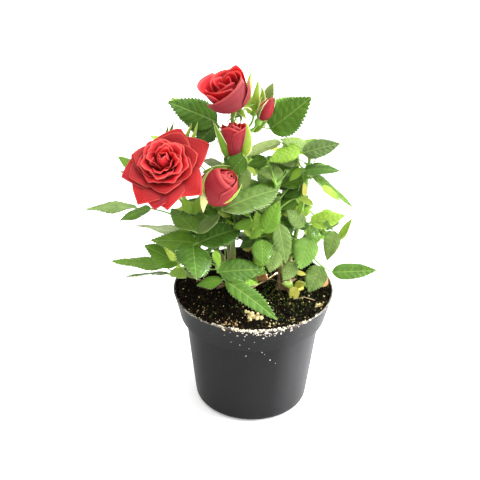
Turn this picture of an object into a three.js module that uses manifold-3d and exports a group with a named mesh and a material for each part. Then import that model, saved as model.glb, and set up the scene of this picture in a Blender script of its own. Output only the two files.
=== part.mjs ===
// A miniature rose bush in its nursery pot, as an assembly of closed solids.
// Millimetres, +Z up, origin at the centre of the pot's flat underside, -Y is the front.

import * as THREE from 'three';
import Module from 'manifold-3d';
import { mergeVertices } from 'three/addons/utils/BufferGeometryUtils.js';

const wasm = await Module();
wasm.setup();

// Driving sizes
const gap = 0.3; // clear space between pieces that rest on or follow each other
const up = new THREE.Vector3( 0, 0, 1 );

const pot = {
	rimRadius: 60, height: 95, bandHeight: 20, bandFootRadius: 55, bodyTopRadius: 51,
	baseRadius: 43, corner: 5, wall: 1.3, floor: 1.8, shoulder: 2, lip: 1.5, lipChamfer: 0.4,
	sides: 32, drains: 6, drainRadius: 4, drainCircle: 31, drainSides: 8,
};

const soil = { top: 92, edgeTop: 93.2, flatRadius: 48, sides: 24 };

const stump = {
	height: 17, footRadius: 6.2, neckRadius: 4.2, knobs: 0.1, sides: 8,
	levels: [ 0, 0.18, 0.6, 1 ], // shares of the height
	flares: [ 1, 0.78, 0, 0.3 ], // from the neck's radius to the foot's
};

const cane = { footLift: 9, rootRadius: 2.5, tipRadius: 1.2, sides: 6, steps: 5 };
const stem = { sides: 5, steps: 5 }; // a cane's thinner run inside its foliage

const leaf = {
	halfWidth: 0.29, // share of a leaflet's length
	thickness: 1.0, rootHalfWidth: 0.6, rootHalfThickness: 0.35, rootSink: 0.1,
	pairSizes: [ 0.8, 0.62 ], pairPlaces: [ 0.9, 0.5 ], pairSpread: [ 64, 72 ],
	fold: 0.16, droop: 0.14,
	endStations: [ [ 0.22, 0.9 ], [ 0.62, 0.9 ] ], // share of the length, share of the half width
	sideStations: [ [ 0.4, 1.1 ] ],
};

const rachis = { radius: 0.95, sides: 3, steps: 2, leastShare: 0.2, besideStem: 0.15 };

// Two old stumps stand in the compost; every shoot rises from one of them.
const stumps = {
	stem_left: new THREE.Vector3( - 16, 8, soil.top + gap ),
	stem_right: new THREE.Vector3( 23, 6, soil.top + gap ),
};

// Shoots: knee and top of the curve, and the share of it where the bough enters its foliage.
const shoots = {
	left: { stump: 'stem_left', knee: [ - 34, - 2, 140 ], top: [ - 57, - 22, 186 ], fork: 0.36 },
	tall: { stump: 'stem_left', knee: [ - 16, 6, 160 ], top: [ - 18, - 6, 238 ], fork: 0.4 },
	front: { stump: 'stem_left', knee: [ - 21, - 20, 124 ], top: [ - 25, - 40, 132 ], fork: 0.5 },
	back_left: { stump: 'stem_left', knee: [ - 22, 30, 134 ], top: [ - 32, 40, 168 ], fork: 0.38 },
	centre: { stump: 'stem_right', knee: [ 12, - 6, 140 ], top: [ 14, - 12, 188 ], fork: 0.36 },
	right: { stump: 'stem_right', knee: [ 34, 2, 150 ], top: [ 38, 0, 208 ], fork: 0.36 },
	low_right: { stump: 'stem_right', knee: [ 40, 14, 124 ], top: [ 56, 18, 134 ], fork: 0.5 },
	back_right: { stump: 'stem_right', knee: [ 26, 32, 134 ], top: [ 28, 42, 172 ], fork: 0.38 },
};

// The leaves that show, one row each: share of the shoot, bearing and rise in degrees, reach
// from stem to tip, end leaflet's length, leaflets, lean of the face to the front, arch.
const shownLeaves = {
	left: [
		[ 0.72, 274, - 12, 64, 34, 5, 20, 0.3 ],
		[ 0.8, 161, - 12, 84, 36, 5, - 30, 0.02 ],
		[ 0.6, 149, - 17, 64, 32, 3, - 20, 0 ],
		[ 0.4, 196, - 7, 76, 36, 5, - 5, - 0.2 ],
		[ 0.52, 192, - 12, 50, 32, 3, 35, 0.05 ],
		[ 0.96, 153, 19, 52, 26, 3, 0, 0.1 ],
		[ 0.9, 215, 10, 40, 26, 3, 20, 0.1 ],
	],
	tall: [
		[ 0.8, 175, 40, 58, 36, 3, 30, 0.1 ],
		[ 0.73, 8, 42, 74, 38, 3, 35, 0.12 ],
		[ 0.57, 334, 42, 56, 30, 3, 25, 0.15 ],
		[ 0.5, 310, 33, 60, 42, 3, 30, 0.05 ],
		[ 0.5, 205, 50, 52, 28, 3, 30, 0.1 ],
		[ 0.69, 110, 25, 68, 34, 5, 0, 0.15 ],
	],
	front: [
		[ 0.9, 321, - 18, 58, 38, 3, 10, 0.18 ],
		[ 0.75, 214, 4, 34, 20, 3, 30, 0.15 ],
	],
	centre: [
		[ 0.62, 262, - 7, 46, 30, 3, 40, 0.3 ],
		[ 0.8, 252, - 10, 42, 28, 3, 30, 0.3 ],
		[ 0.5, 212, 8, 40, 26, 3, 35, 0.2 ],
		[ 0.87, 300, 30, 40, 24, 3, 35, 0.15 ],
	],
	right: [
		[ 0.8, 342, 56, 41, 28, 3, 40, 0.1 ],
		[ 0.8, 332, - 18, 40, 32, 1, - 30, 0.15 ],
		[ 0.6, 315, 10, 44, 30, 3, 20, 0.15 ],
		[ 0.5, 18, - 11, 42, 28, 3, 25, 0.2 ],
		[ 0.46, 266, - 20, 43, 31, 3, 45, 0.3 ],
		[ 0.91, 212, 14, 34, 25, 3, 40, 0.2 ],
	],
	low_right: [
		[ 0.75, 333, - 17, 50, 33, 1, - 5, - 0.42 ],
		[ 0.95, 256, - 28, 48, 30, 1, 40, 0.2 ],
		[ 0.98, 95, 6, 46, 30, 3, 0, 0.12 ],
	],
	back_left: [],
	back_right: [],
};

// Leaves that fill the far side of some masses by a seeded rule: how many, from which share of
// the shoot, round which bearing and how far to each side of it.
const fill = {
	left: { count: 3, from: 0.45, bearing: 110, sweep: 40 },
	tall: { count: 2, from: 0.46, bearing: 130, sweep: 50 },
	centre: { count: 2, from: 0.6, bearing: 100, sweep: 20 },
	right: { count: 3, from: 0.44, bearing: 110, sweep: 34 },
	low_right: { count: 1, from: 0.8, bearing: 130, sweep: 30 },
	back_left: { count: 9, from: 0.4, bearing: 105, sweep: 70 },
	back_right: { count: 9, from: 0.4, bearing: 90, sweep: 70 },
};

const fillLeaf = {
	firstSeed: 11, seedStep: 7, goldenAngle: 137.5, bearingJitter: 16, riseJitter: 20,
	lowestRise: - 12, riseGain: 52, // degrees, from the shoot's foot to its top
	reach: 62, reachAtFoot: 1.1, reachLoss: 0.3, reachJitter: 0.15,
	blade: 36, arch: 0.14,
};

// Rings of petals from the outside in: petals, length, opening from foot to edge in degrees
// from the axis, depth of the notch between petals, wave across each and turn of the ring.
const petalRings = {
	open: [
		{ count: 5, length: 1.14, open: [ 48, 94 ], notch: 0.24, wave: 0.14, turn: 12 },
		{ count: 5, length: 1.1, open: [ 36, 80 ], notch: 0.22, wave: 0.12, turn: 48 },
		{ count: 5, length: 0.86, open: [ 22, 58 ], notch: 0.16, wave: 0.1, turn: 20 },
		{ count: 4, length: 0.68, open: [ 10, 34 ], notch: 0.1, wave: 0.06, turn: 0 },
	],
	half: [
		{ count: 5, length: 2.05, open: [ 72, - 14 ], notch: 0.12, wave: 0.1, turn: 0 },
		{ count: 4, length: 1.75, open: [ 48, - 16 ], notch: 0.1, wave: 0.05, turn: 40 },
	],
	bud: [],
};

const petal = {
	thickness: 1.2, rows: 3, columns: 4, curveSteps: 10,
	footRadius: 0.12, edgePower: 0.8, flat: 0.4,
};

// Kinds of flower, in shares of a flower's size: the turned core with the hip under it as radius
// and height, depth of the petals' foot, foot of the hip, and the sepals' length, rise and depth.
const kinds = {
	open: {
		core: [
			[ 0.07, - 0.76 ], [ 0.13, - 0.64 ], [ 0.12, - 0.48 ],
			[ 0.3, - 0.34 ], [ 0.26, - 0.1 ], [ 0.16, 0.12 ],
		],
		coreSides: 9, petalFoot: 0.42, hipFoot: 0.7, sepal: { length: 0.75, rise: - 8, depth: 0.48 },
	},
	half: {
		core: [
			[ 0.15, - 1.5 ], [ 0.24, - 1.3 ], [ 0.22, - 1.05 ],
			[ 0.62, - 0.62 ], [ 0.5, 0.1 ], [ 0.22, 0.5 ],
		],
		coreSides: 9, petalFoot: 0.95, hipFoot: 1.45, sepal: { length: 1.5, rise: - 8, depth: 1.01 },
	},
	bud: {
		core: [
			[ 0.3, - 2.1 ], [ 0.52, - 1.75 ], [ 0.42, - 1.3 ], [ 0.9, - 0.5 ],
			[ 1, 0.3 ], [ 0.7, 1.1 ], [ 0.15, 1.6 ],
		],
		coreSides: 7, petalFoot: 0, hipFoot: 2, sepal: { length: 2.6, rise: 63, depth: 1.25 },
	},
};

const sepals = { count: 5, turn: 14.4, rootRadius: 0.3, stations: [ [ 0.35, 0.5 ] ] };
const stalk = { radius: 1.15, sides: 5, steps: 4, bend: 0.45 };

// Flowers: their shoot and the share of it where the stalk leaves, centre, axis, kind and size.
const flowers = {
	bloom_open: {
		shoot: 'left', at: 1, centre: [ - 62.5, - 40, 217.5 ], axis: [ - 0.05, - 0.61, 0.79 ],
		kind: 'open', size: 30,
	},
	bloom_half_open: {
		shoot: 'tall', at: 1, centre: [ - 20, - 13, 260 ], axis: [ - 0.42, - 0.08, 0.9 ],
		kind: 'half', size: 14.6,
	},
	bud_middle: {
		shoot: 'tall', at: 0.84, centre: [ - 16, - 22, 228 ], axis: [ 0.02, - 0.12, 0.99 ],
		kind: 'bud', size: 8.6,
	},
	bud_lower: {
		shoot: 'tall', at: 0.62, centre: [ - 25, - 36, 199 ], axis: [ 0.5, - 0.45, 0.74 ],
		kind: 'bud', size: 11.5,
	},
	bud_side: {
		shoot: 'tall', at: 0.86, centre: [ 7, 0, 242 ], axis: [ 0.5, 0.2, 0.84 ],
		kind: 'bud', size: 6.5,
	},
	bud_green: {
		shoot: 'tall', at: 0.9, centre: [ - 3, 12, 245 ], axis: [ 0, 0.1, 0.99 ],
		kind: 'bud', size: 7,
	},
};

// Seeded numbers between 0 and 1, the same on every run.
const generator = { factor: 16807, modulus: 2147483647 };

function seededNumbers( seed ) {

	let state = seed;

	return () => {

		state = ( state * generator.factor ) % generator.modulus;
		return state / generator.modulus;

	};

}

function vec( list ) {

	return new THREE.Vector3( list[ 0 ], list[ 1 ], list[ 2 ] );

}

function heading( bearing, rise ) {

	const b = THREE.MathUtils.degToRad( bearing );
	const r = THREE.MathUtils.degToRad( rise );
	return new THREE.Vector3( Math.cos( b ) * Math.cos( r ), Math.sin( b ) * Math.cos( r ), Math.sin( r ) );

}

function turned( vector, axis, degrees ) {

	return vector.clone().applyAxisAngle( axis, THREE.MathUtils.degToRad( degrees ) );

}

// A solid from points and triangles; one that comes out inside out is turned round.
function solidOf( points, triangles ) {

	const vertProperties = new Float32Array( points.flatMap( ( p ) => [ p.x, p.y, p.z ] ) );
	const build = ( faces ) => new wasm.Manifold( new wasm.Mesh( {
		numProp: 3, vertProperties, triVerts: new Uint32Array( faces.flat() ),
	} ) );
	const solid = build( triangles );
	return solid.volume() > 0 ? solid : build( triangles.map( ( [ a, b, c ] ) => [ a, c, b ] ) );

}

function solidFromGeometry( geometry ) {

	const bare = geometry.clone();
	bare.deleteAttribute( 'normal' );
	bare.deleteAttribute( 'uv' );
	const merged = mergeVertices( bare, 1e-4 );
	const position = merged.getAttribute( 'position' );
	const index = merged.getIndex().array;
	const points = [];
	const triangles = [];
	for ( let i = 0; i < position.count; i ++ ) {

		points.push( new THREE.Vector3().fromBufferAttribute( position, i ) );

	}

	for ( let i = 0; i < index.length; i += 3 ) {

		const triangle = [ index[ i ], index[ i + 1 ], index[ i + 2 ] ];
		if ( new Set( triangle ).size === 3 ) triangles.push( triangle );

	}

	return solidOf( points, triangles );

}

// The largest closed body of a fused piece: sealed hollows are filled and loose scraps dropped.
function wholeBody( solid ) {

	const bodies = solid.decompose().filter( ( body ) => body.volume() > 0 );
	bodies.sort( ( a, b ) => b.volume() - a.volume() );
	return bodies[ 0 ];

}

function fused( solids ) {

	return wholeBody( wasm.Manifold.union( solids ) );

}

// A solid through rings of points, closed by a fan at each end.
function loft( rings ) {

	const count = rings[ 0 ].length;
	const points = rings.flat();
	const triangles = [];
	for ( let r = 0; r < rings.length - 1; r ++ ) {

		for ( let i = 0; i < count; i ++ ) {

			const a = r * count + i;
			const b = r * count + ( i + 1 ) % count;
			triangles.push( [ a, b, b + count ], [ a, b + count, a + count ] );

		}

	}

	const last = ( rings.length - 1 ) * count;
	for ( let i = 1; i < count - 1; i ++ ) {

		triangles.push( [ 0, i + 1, i ], [ last, last + i, last + i + 1 ] );

	}

	return solidOf( points, triangles );

}

// A round limb along a curve from share a to share b, its radius given by a function of the share.
function limb( curve, a, b, radiusAt, sides, steps ) {

	const rings = [];
	let side = null;
	for ( let s = 0; s <= steps; s ++ ) {

		const t = a + ( b - a ) * s / steps;
		const centre = curve.getPoint( t );
		const along = curve.getTangent( t );
		if ( side === null ) side = Math.abs( along.z ) > 0.9 ? new THREE.Vector3( 1, 0, 0 ) : up.clone();
		side = side.clone().addScaledVector( along, - side.dot( along ) ).normalize();
		const other = new THREE.Vector3().crossVectors( along, side );
		const ring = [];
		for ( let i = 0; i < sides; i ++ ) {

			const angle = 2 * Math.PI * i / sides;
			ring.push( centre.clone()
				.addScaledVector( side, radiusAt( t ) * Math.cos( angle ) )
				.addScaledVector( other, radiusAt( t ) * Math.sin( angle ) ) );

		}

		rings.push( ring );

	}

	return loft( rings );

}

// Pot: a thin moulded shell with a deep rim band, a rounded foot and drain holes.
function makePot() {

	const p = pot;
	const bandFoot = p.height - p.bandHeight;
	const profile = new THREE.Path();
	profile.moveTo( 0, 0 );
	profile.lineTo( p.baseRadius - p.corner, 0 );
	profile.quadraticCurveTo( p.baseRadius, 0, p.baseRadius, p.corner );
	profile.lineTo( p.bodyTopRadius, bandFoot - p.shoulder );
	profile.lineTo( p.bandFootRadius, bandFoot );
	profile.lineTo( p.rimRadius, p.height - p.lip );
	profile.lineTo( p.rimRadius - p.lipChamfer, p.height );
	profile.lineTo( p.rimRadius - p.wall, p.height );
	profile.lineTo( p.bandFootRadius - p.wall, bandFoot + p.wall );
	profile.lineTo( p.bodyTopRadius - p.wall, bandFoot - p.shoulder );
	profile.lineTo( p.baseRadius - p.wall, p.corner );
	profile.lineTo( p.baseRadius - p.corner, p.floor );
	profile.lineTo( 0, p.floor );
	const outline = profile.getPoints( 4 );
	outline.push( new THREE.Vector2( 0, 0 ) );
	const shell = new THREE.LatheGeometry( outline, p.sides );
	shell.rotateX( Math.PI / 2 );
	let body = solidFromGeometry( shell );
	for ( let i = 0; i < p.drains; i ++ ) {

		const angle = 2 * Math.PI * ( i + 0.5 ) / p.drains;
		const drain = new THREE.CylinderGeometry( p.drainRadius, p.drainRadius, 3 * p.floor, p.drainSides );
		drain.rotateX( Math.PI / 2 );
		drain.translate( p.drainCircle * Math.cos( angle ), p.drainCircle * Math.sin( angle ), 0 );
		body = body.subtract( solidFromGeometry( drain ) );

	}

	return body;

}

// Compost: fills the pot inside its wall, level in the middle and a little higher at the rim.
function makeSoil() {

	const p = pot;
	const inset = p.wall + gap + 0.1; // a little more than the gap, as the two outlines differ in sides
	const bandFoot = p.height - p.bandHeight;
	const slope = ( p.rimRadius - p.bandFootRadius ) / p.bandHeight;
	const edgeRadius = p.rimRadius - inset - gap - slope * ( p.height - soil.edgeTop );
	const outline = [
		[ 0, p.floor + gap ],
		[ p.baseRadius - p.corner - gap, p.floor + gap ],
		[ p.baseRadius - inset, p.corner + gap ],
		[ p.bodyTopRadius - inset, bandFoot - p.shoulder ],
		[ p.bandFootRadius - inset, bandFoot + p.wall + gap ],
		[ edgeRadius, soil.edgeTop ],
		[ soil.flatRadius, soil.top ],
		[ 0, soil.top ],
		[ 0, p.floor + gap ],
	].map( ( [ radius, height ] ) => new THREE.Vector2( radius, height ) );
	const body = new THREE.LatheGeometry( outline, soil.sides );
	body.rotateX( Math.PI / 2 );
	return solidFromGeometry( body );

}

// A short woody stump with a flared foot, flat where it stands on the compost.
function makeStump( foot, swell = 0 ) {

	const top = stump.levels.length - 1;
	const rings = stump.levels.map( ( share, k ) => {

		const flare = stump.flares[ k ];
		const radius = THREE.MathUtils.lerp( stump.neckRadius, stump.footRadius, flare ) + swell;
		const endSwell = k === 0 ? - swell : ( k === top ? swell : 0 );
		const ring = [];
		for ( let i = 0; i < stump.sides; i ++ ) {

			const angle = 2 * Math.PI * i / stump.sides;
			const reach = radius * ( 1 + stump.knobs * Math.sin( 2 * angle + k ) );
			ring.push( new THREE.Vector3(
				foot.x + reach * Math.cos( angle ),
				foot.y + reach * Math.sin( angle ),
				foot.z + stump.height * share + endSwell,
			) );

		}

		return ring;

	} );
	return loft( rings );

}

// The curve of a shoot from inside its stump to its top.
function shootCurve( name ) {

	const shoot = shoots[ name ];
	const foot = stumps[ shoot.stump ].clone().setZ( soil.top + cane.footLift );
	return new THREE.QuadraticBezierCurve3( foot, vec( shoot.knee ), vec( shoot.top ) );

}

function caneRadius( share ) {

	return THREE.MathUtils.lerp( cane.rootRadius, cane.tipRadius, share );

}

// A leaflet: a folded blade, diamond in section, from a root sunk in its twig to a pointed tip.
function makeLeaflet( base, along, normal, length, stations, swell = 0 ) {

	const side = new THREE.Vector3().crossVectors( along, normal ).normalize();
	const face = new THREE.Vector3().crossVectors( side, along ).normalize();
	const half = leaf.halfWidth * length;
	const points = [];
	const centreAt = ( t ) => base.clone()
		.addScaledVector( along, length * t )
		.addScaledVector( face, - leaf.droop * length * t * t );
	const addRing = ( t, reach, lift, thick ) => {

		const centre = centreAt( t );
		points.push( centre.clone().addScaledVector( side, reach ).addScaledVector( face, lift ) );
		points.push( centre.clone().addScaledVector( face, thick ) );
		points.push( centre.clone().addScaledVector( side, - reach ).addScaledVector( face, lift ) );
		points.push( centre.clone().addScaledVector( face, - thick ) );

	};

	addRing( - leaf.rootSink / length, leaf.rootHalfWidth, 0, leaf.rootHalfThickness );
	for ( const [ t, width ] of stations ) {

		addRing( t, half * width + swell, leaf.fold * half * width, leaf.thickness / 2 + swell );

	}

	const tip = points.length;
	points.push( centreAt( 1 + swell / length ) );
	const triangles = [ [ 0, 1, 2 ], [ 0, 2, 3 ] ];
	for ( let i = 0; i < 4; i ++ ) {

		const j = ( i + 1 ) % 4;
		triangles.push( [ tip - 4 + j, tip - 4 + i, tip ] );
		for ( let ring = 0; ring < tip - 4; ring += 4 ) {

			triangles.push( [ ring + j, ring + i, ring + 4 + i ] );
			triangles.push( [ ring + j, ring + 4 + i, ring + 4 + j ] );

		}

	}

	return solidOf( points, triangles );

}

// The part of a direction that lies square to a way, at length 1.
function squareTo( direction, way ) {

	return direction.clone().addScaledVector( way, - direction.dot( way ) ).normalize();

}

// A compound leaf as a list of pieces, its rachis first and then its end leaflet, each with its
// real shape and a slightly swollen one for testing what lies near.
function leafPieces( root, row ) {

	const [ , bearing, rise, reach, blade, leaflets, lean, arch ] = row;
	const along = heading( bearing, rise );
	const tip = root.clone().addScaledVector( along, reach );
	const knee = root.clone().addScaledVector( along, reach / 2 ).addScaledVector( up, reach * arch );
	const path = new THREE.QuadraticBezierCurve3( root, knee, tip );
	const rachisEnd = Math.max( rachis.leastShare, 1 - blade / reach );
	const faceUp = heading( 270, 90 - lean );
	const radius = () => rachis.radius;
	const swollen = () => rachis.radius + gap / 2;
	const pieces = [ {
		solid: limb( path, 0, rachisEnd, radius, rachis.sides, rachis.steps ),
		whole: limb( path, 0, rachisEnd, swollen, rachis.sides, rachis.steps ),
		test: limb( path, rachis.besideStem, rachisEnd, swollen, rachis.sides, rachis.steps ),
	} ];
	const addLeaflet = ( base, way, length, stations ) => {

		const normal = squareTo( faceUp, way );
		pieces.push( {
			solid: makeLeaflet( base, way, normal, length, stations ),
			test: makeLeaflet( base, way, normal, length, stations, gap / 2 ),
		} );

	};

	const endPoint = path.getPoint( rachisEnd );
	addLeaflet( endPoint, tip.clone().sub( endPoint ).normalize(), blade, leaf.endStations );
	for ( let pair = 0; pair < ( leaflets - 1 ) / 2; pair ++ ) {

		const place = rachisEnd * leaf.pairPlaces[ pair ];
		const way = path.getTangent( place );
		const normal = squareTo( faceUp, way );
		for ( const hand of [ 1, - 1 ] ) {

			const outward = turned( way, normal, hand * leaf.pairSpread[ pair ] );
			const length = blade * leaf.pairSizes[ pair ];
			addLeaflet( path.getPoint( place ), outward, length, leaf.sideStations );

		}

	}

	return pieces;

}

// The rows of one mass: the leaves that show, then the seeded ones on its far side.
function leafRows( name, order ) {

	const rows = [ ...shownLeaves[ name ] ];
	if ( ! fill[ name ] ) return rows;
	const f = fillLeaf;
	const random = seededNumbers( f.firstSeed + f.seedStep * order );
	const { count, from, bearing, sweep } = fill[ name ];
	for ( let i = 0; i < count; i ++ ) {

		const at = from + ( 1 - from ) * ( i + 0.5 ) / count;
		const turn = ( i * f.goldenAngle ) % 360;
		const offset = ( turn / 180 - 1 ) * sweep + ( random() - 0.5 ) * f.bearingJitter;
		const rise = f.lowestRise + f.riseGain * at + ( random() - 0.5 ) * f.riseJitter;
		const reach = f.reach * ( f.reachAtFoot - f.reachLoss * at + f.reachJitter * random() );
		const leaflets = random() < 0.5 ? 5 : 3;
		rows.push( [ at, bearing + offset, rise, reach, f.blade, leaflets, 0, f.arch ] );

	}

	return rows;

}

// The middle line of a petal from its foot, as radius and height, opening as it rises.
function petalLine( ring, size, foot ) {

	const line = [ new THREE.Vector2( petal.footRadius * size, foot ) ];
	const step = ring.length * size / petal.curveSteps;
	const [ footOpening, edgeOpening ] = ring.open;
	for ( let i = 0; i < petal.curveSteps; i ++ ) {

		const share = ( i + 0.5 ) / petal.curveSteps;
		const angle = THREE.MathUtils.degToRad( THREE.MathUtils.lerp( footOpening, edgeOpening, share ) );
		line.push( new THREE.Vector2(
			line[ i ].x + Math.sin( angle ) * step,
			line[ i ].y + Math.cos( angle ) * step,
		) );

	}

	return line;

}

// A ring of petals that overlap: a thin cup round +Z whose edge runs out in one point per petal.
function makePetalRing( ring, size, foot ) {

	const { rows } = petal;
	const columns = petal.columns * ring.count;
	const line = petalLine( ring, size, foot );
	const points = [];
	const addPoint = ( r, c, layer ) => {

		const across = 2 * ( c % petal.columns ) / petal.columns - 1; // side to side of a petal
		const share = r / rows * ( 1 - ring.notch * Math.abs( across ) ** petal.edgePower );
		const k = Math.min( petal.curveSteps - 1, Math.floor( share * petal.curveSteps ) );
		const mid = line[ k ].clone().lerp( line[ k + 1 ], share * petal.curveSteps - k );
		const way = line[ k + 1 ].clone().sub( line[ k ] ).normalize();
		const wave = ring.wave * size * share * ( across ** 2 - petal.flat );
		const lift = ( layer - 0.5 ) * petal.thickness + wave;
		const radius = mid.x - way.y * lift;
		const angle = 2 * Math.PI * ( c / columns + ring.turn / 360 );
		points.push( new THREE.Vector3(
			radius * Math.cos( angle ), radius * Math.sin( angle ), mid.y + way.x * lift,
		) );

	};

	for ( const layer of [ 0, 1 ] ) {

		for ( let r = 0; r <= rows; r ++ ) {

			for ( let c = 0; c < columns; c ++ ) addPoint( r, c, layer );

		}

	}

	const at = ( r, c, layer ) => ( layer * ( rows + 1 ) + r ) * columns + c % columns;
	const triangles = [];
	const addFace = ( a, b, c, d ) => triangles.push( [ a, b, c ], [ a, c, d ] );
	for ( let c = 0; c < columns; c ++ ) {

		for ( let r = 0; r < rows; r ++ ) {

			addFace( at( r, c, 0 ), at( r, c + 1, 0 ), at( r + 1, c + 1, 0 ), at( r + 1, c, 0 ) );
			addFace( at( r, c, 1 ), at( r + 1, c, 1 ), at( r + 1, c + 1, 1 ), at( r, c + 1, 1 ) );

		}

		addFace( at( 0, c, 0 ), at( 0, c, 1 ), at( 0, c + 1, 1 ), at( 0, c + 1, 0 ) );
		addFace( at( rows, c, 0 ), at( rows, c + 1, 0 ), at( rows, c + 1, 1 ), at( rows, c, 1 ) );

	}

	return solidOf( points, triangles );

}

// The packed heart of a flower and the hip under it, turned round +Z.
function makeCore( kind, size ) {

	const { core, coreSides } = kinds[ kind ];
	const twist = 0.35; // of a side, from one ring to the next
	const rings = core.map( ( [ radius, height ], k ) => {

		const ring = [];
		for ( let i = 0; i < coreSides; i ++ ) {

			const angle = 2 * Math.PI * ( i + twist * k ) / coreSides;
			ring.push( new THREE.Vector3(
				size * radius * Math.cos( angle ), size * radius * Math.sin( angle ), size * height,
			) );

		}

		return ring;

	} );
	return loft( rings );

}

// Narrow sepals round the foot of a flower.
function makeSepals( kind, size ) {

	const { length, rise, depth } = kinds[ kind ].sepal;
	const made = [];
	for ( let i = 0; i < sepals.count; i ++ ) {

		const turn = sepals.turn + 360 * i / sepals.count;
		const base = heading( turn, 0 ).multiplyScalar( sepals.rootRadius * size ).setZ( - depth * size );
		const normal = heading( turn, rise + 90 );
		made.push( makeLeaflet( base, heading( turn, rise ), normal, length * size, sepals.stations ) );

	}

	return made;

}

// A flower's stalk, from the side of its shoot or just past its tip up to the hip.
function makeStalk( flower ) {

	const axis = vec( flower.axis ).normalize();
	const curve = shootCurve( flower.shoot );
	const start = curve.getPoint( flower.at );
	if ( flower.at === 1 ) start.addScaledVector( curve.getTangent( 1 ), gap );
	const hip = vec( flower.centre ).addScaledVector( axis, - kinds[ flower.kind ].hipFoot * flower.size );
	const knee = hip.clone().addScaledVector( axis, - stalk.bend * hip.distanceTo( start ) );
	const path = new THREE.QuadraticBezierCurve3( start, knee, hip );
	return limb( path, 0, 1, () => stalk.radius, stalk.sides, stalk.steps );

}

// A flower fused to its own twig: hip, sepals, petals and stalk.
function makeFlower( flower ) {

	const { kind, size } = flower;
	const petalFoot = - kinds[ kind ].petalFoot * size;
	const pieces = petalRings[ kind ].map( ( ring ) => makePetalRing( ring, size, petalFoot ) );
	pieces.push( makeCore( kind, size ), ...makeSepals( kind, size ) );
	const upright = new THREE.Quaternion().setFromUnitVectors( up, vec( flower.axis ).normalize() );
	const unscaled = new THREE.Vector3( 1, 1, 1 );
	const frame = new THREE.Matrix4().compose( vec( flower.centre ), upright, unscaled );
	const placed = pieces.map( ( piece ) => piece.transform( frame.elements ) );
	return fused( [ ...placed, makeStalk( flower ) ] );

}

// What is placed already, so that later pieces can keep clear of it.
const placedPieces = [];

function place( owner, solid, mass = owner ) {

	placedPieces.push( { owner, mass, solid, box: solid.boundingBox() } );

}

function boxesMeet( a, b ) {

	return [ 0, 1, 2 ].every( ( k ) => a.min[ k ] <= b.max[ k ] && b.min[ k ] <= a.max[ k ] );

}

// Whether a shape is clear of every placed piece that counts.
function isClear( shape, counts ) {

	const box = shape.boundingBox();
	return placedPieces.every( ( other ) => ! counts( other ) || ! boxesMeet( box, other.box )
		|| shape.intersect( other.solid ).isEmpty() );

}

// The solids in the order they are placed: pot, compost and stumps first.
const solids = {};

function addSolid( name, solid ) {

	solids[ name ] = solid;
	place( name, solid );

}

addSolid( 'pot', makePot() );
addSolid( 'soil', makeSoil() );
for ( const [ name, foot ] of Object.entries( stumps ) ) addSolid( name, makeStump( foot ) );

// Boughs are cut clear of the stumps and of each other.
const boughGuards = Object.values( stumps ).map( ( foot ) => makeStump( foot, gap ) );
for ( const [ name, { fork } ] of Object.entries( shoots ) ) {

	const curve = shootCurve( name );
	let bough = limb( curve, 0, fork, caneRadius, cane.sides, cane.steps );
	for ( const guard of boughGuards ) bough = bough.subtract( guard );
	addSolid( `bough_${ name }`, wholeBody( bough ) );
	boughGuards.push( limb( curve, 0, fork, ( t ) => caneRadius( t ) + gap, cane.sides, cane.steps ) );

}

// Each mass starts as the stem that goes on from its bough.
const stems = {};
const stemGuards = [];
for ( const [ name, { fork } ] of Object.entries( shoots ) ) {

	const curve = shootCurve( name );
	const start = fork + gap / curve.getLength();
	stems[ name ] = limb( curve, start, 1, caneRadius, stem.sides, stem.steps );
	stemGuards.push( limb( curve, fork, 1, ( t ) => caneRadius( t ) + gap, stem.sides, stem.steps ) );
	place( `foliage_${ name }`, stems[ name ] );

}

// Flowers are cut clear of the stems and of what is placed before them.
for ( const [ name, flower ] of Object.entries( flowers ) ) {

	let solid = makeFlower( flower );
	for ( const other of [ ...stemGuards, ...placedPieces.map( ( piece ) => piece.solid ) ] ) {

		if ( ! solid.intersect( other ).isEmpty() ) solid = wholeBody( solid.subtract( other ) );

	}

	addSolid( name, solid );

}

// Foliage: a leaf whose twig or end leaflet would touch something is skipped, and so is any other
// leaflet of it that would. A twig may cross its own mass's leaves close beside the stem.
Object.keys( shoots ).forEach( ( name, order ) => {

	const mass = `foliage_${ name }`;
	const kept = [ stems[ name ] ];
	leafRows( name, order ).forEach( ( row, number ) => {

		const owner = `${ mass }_${ number }`;
		const pieces = leafPieces( shootCurve( name ).getPoint( row[ 0 ] ), row );
		const isAnotherMass = ( other ) => other.mass !== mass;
		const isAnotherLeaf = ( other ) => other.owner !== owner;
		const isBesideTwig = ( other ) => isAnotherLeaf( other ) && other.owner !== mass;
		const [ twig, ...blades ] = pieces;
		const clear = [
			isClear( twig.whole, isAnotherMass ) && isClear( twig.test, isBesideTwig ),
			...blades.map( ( blade ) => isClear( blade.test, isAnotherLeaf ) ),
		];
		if ( ! clear[ 0 ] || ! clear[ 1 ] ) return;
		for ( const piece of pieces.filter( ( p, i ) => clear[ i ] ) ) {

			kept.push( piece.solid );
			place( owner, piece.solid, mass );

		}

	} );
	solids[ mass ] = fused( kept );

} );

// Looks of the plain solids
const looks = {
	pot: { color: 0x3f4042, roughness: 0.45 },
	soil: { color: 0x241a12, roughness: 0.95 },
	stem: { color: 0x6b5636, roughness: 0.8 },
	bough: { color: 0x5f7a35, roughness: 0.6 },
	foliage: { color: 0x4f8a34, roughness: 0.5 },
	bloom: { color: 0xd4232c, roughness: 0.55 },
	bud: { color: 0xb83248, roughness: 0.55 },
};

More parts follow.
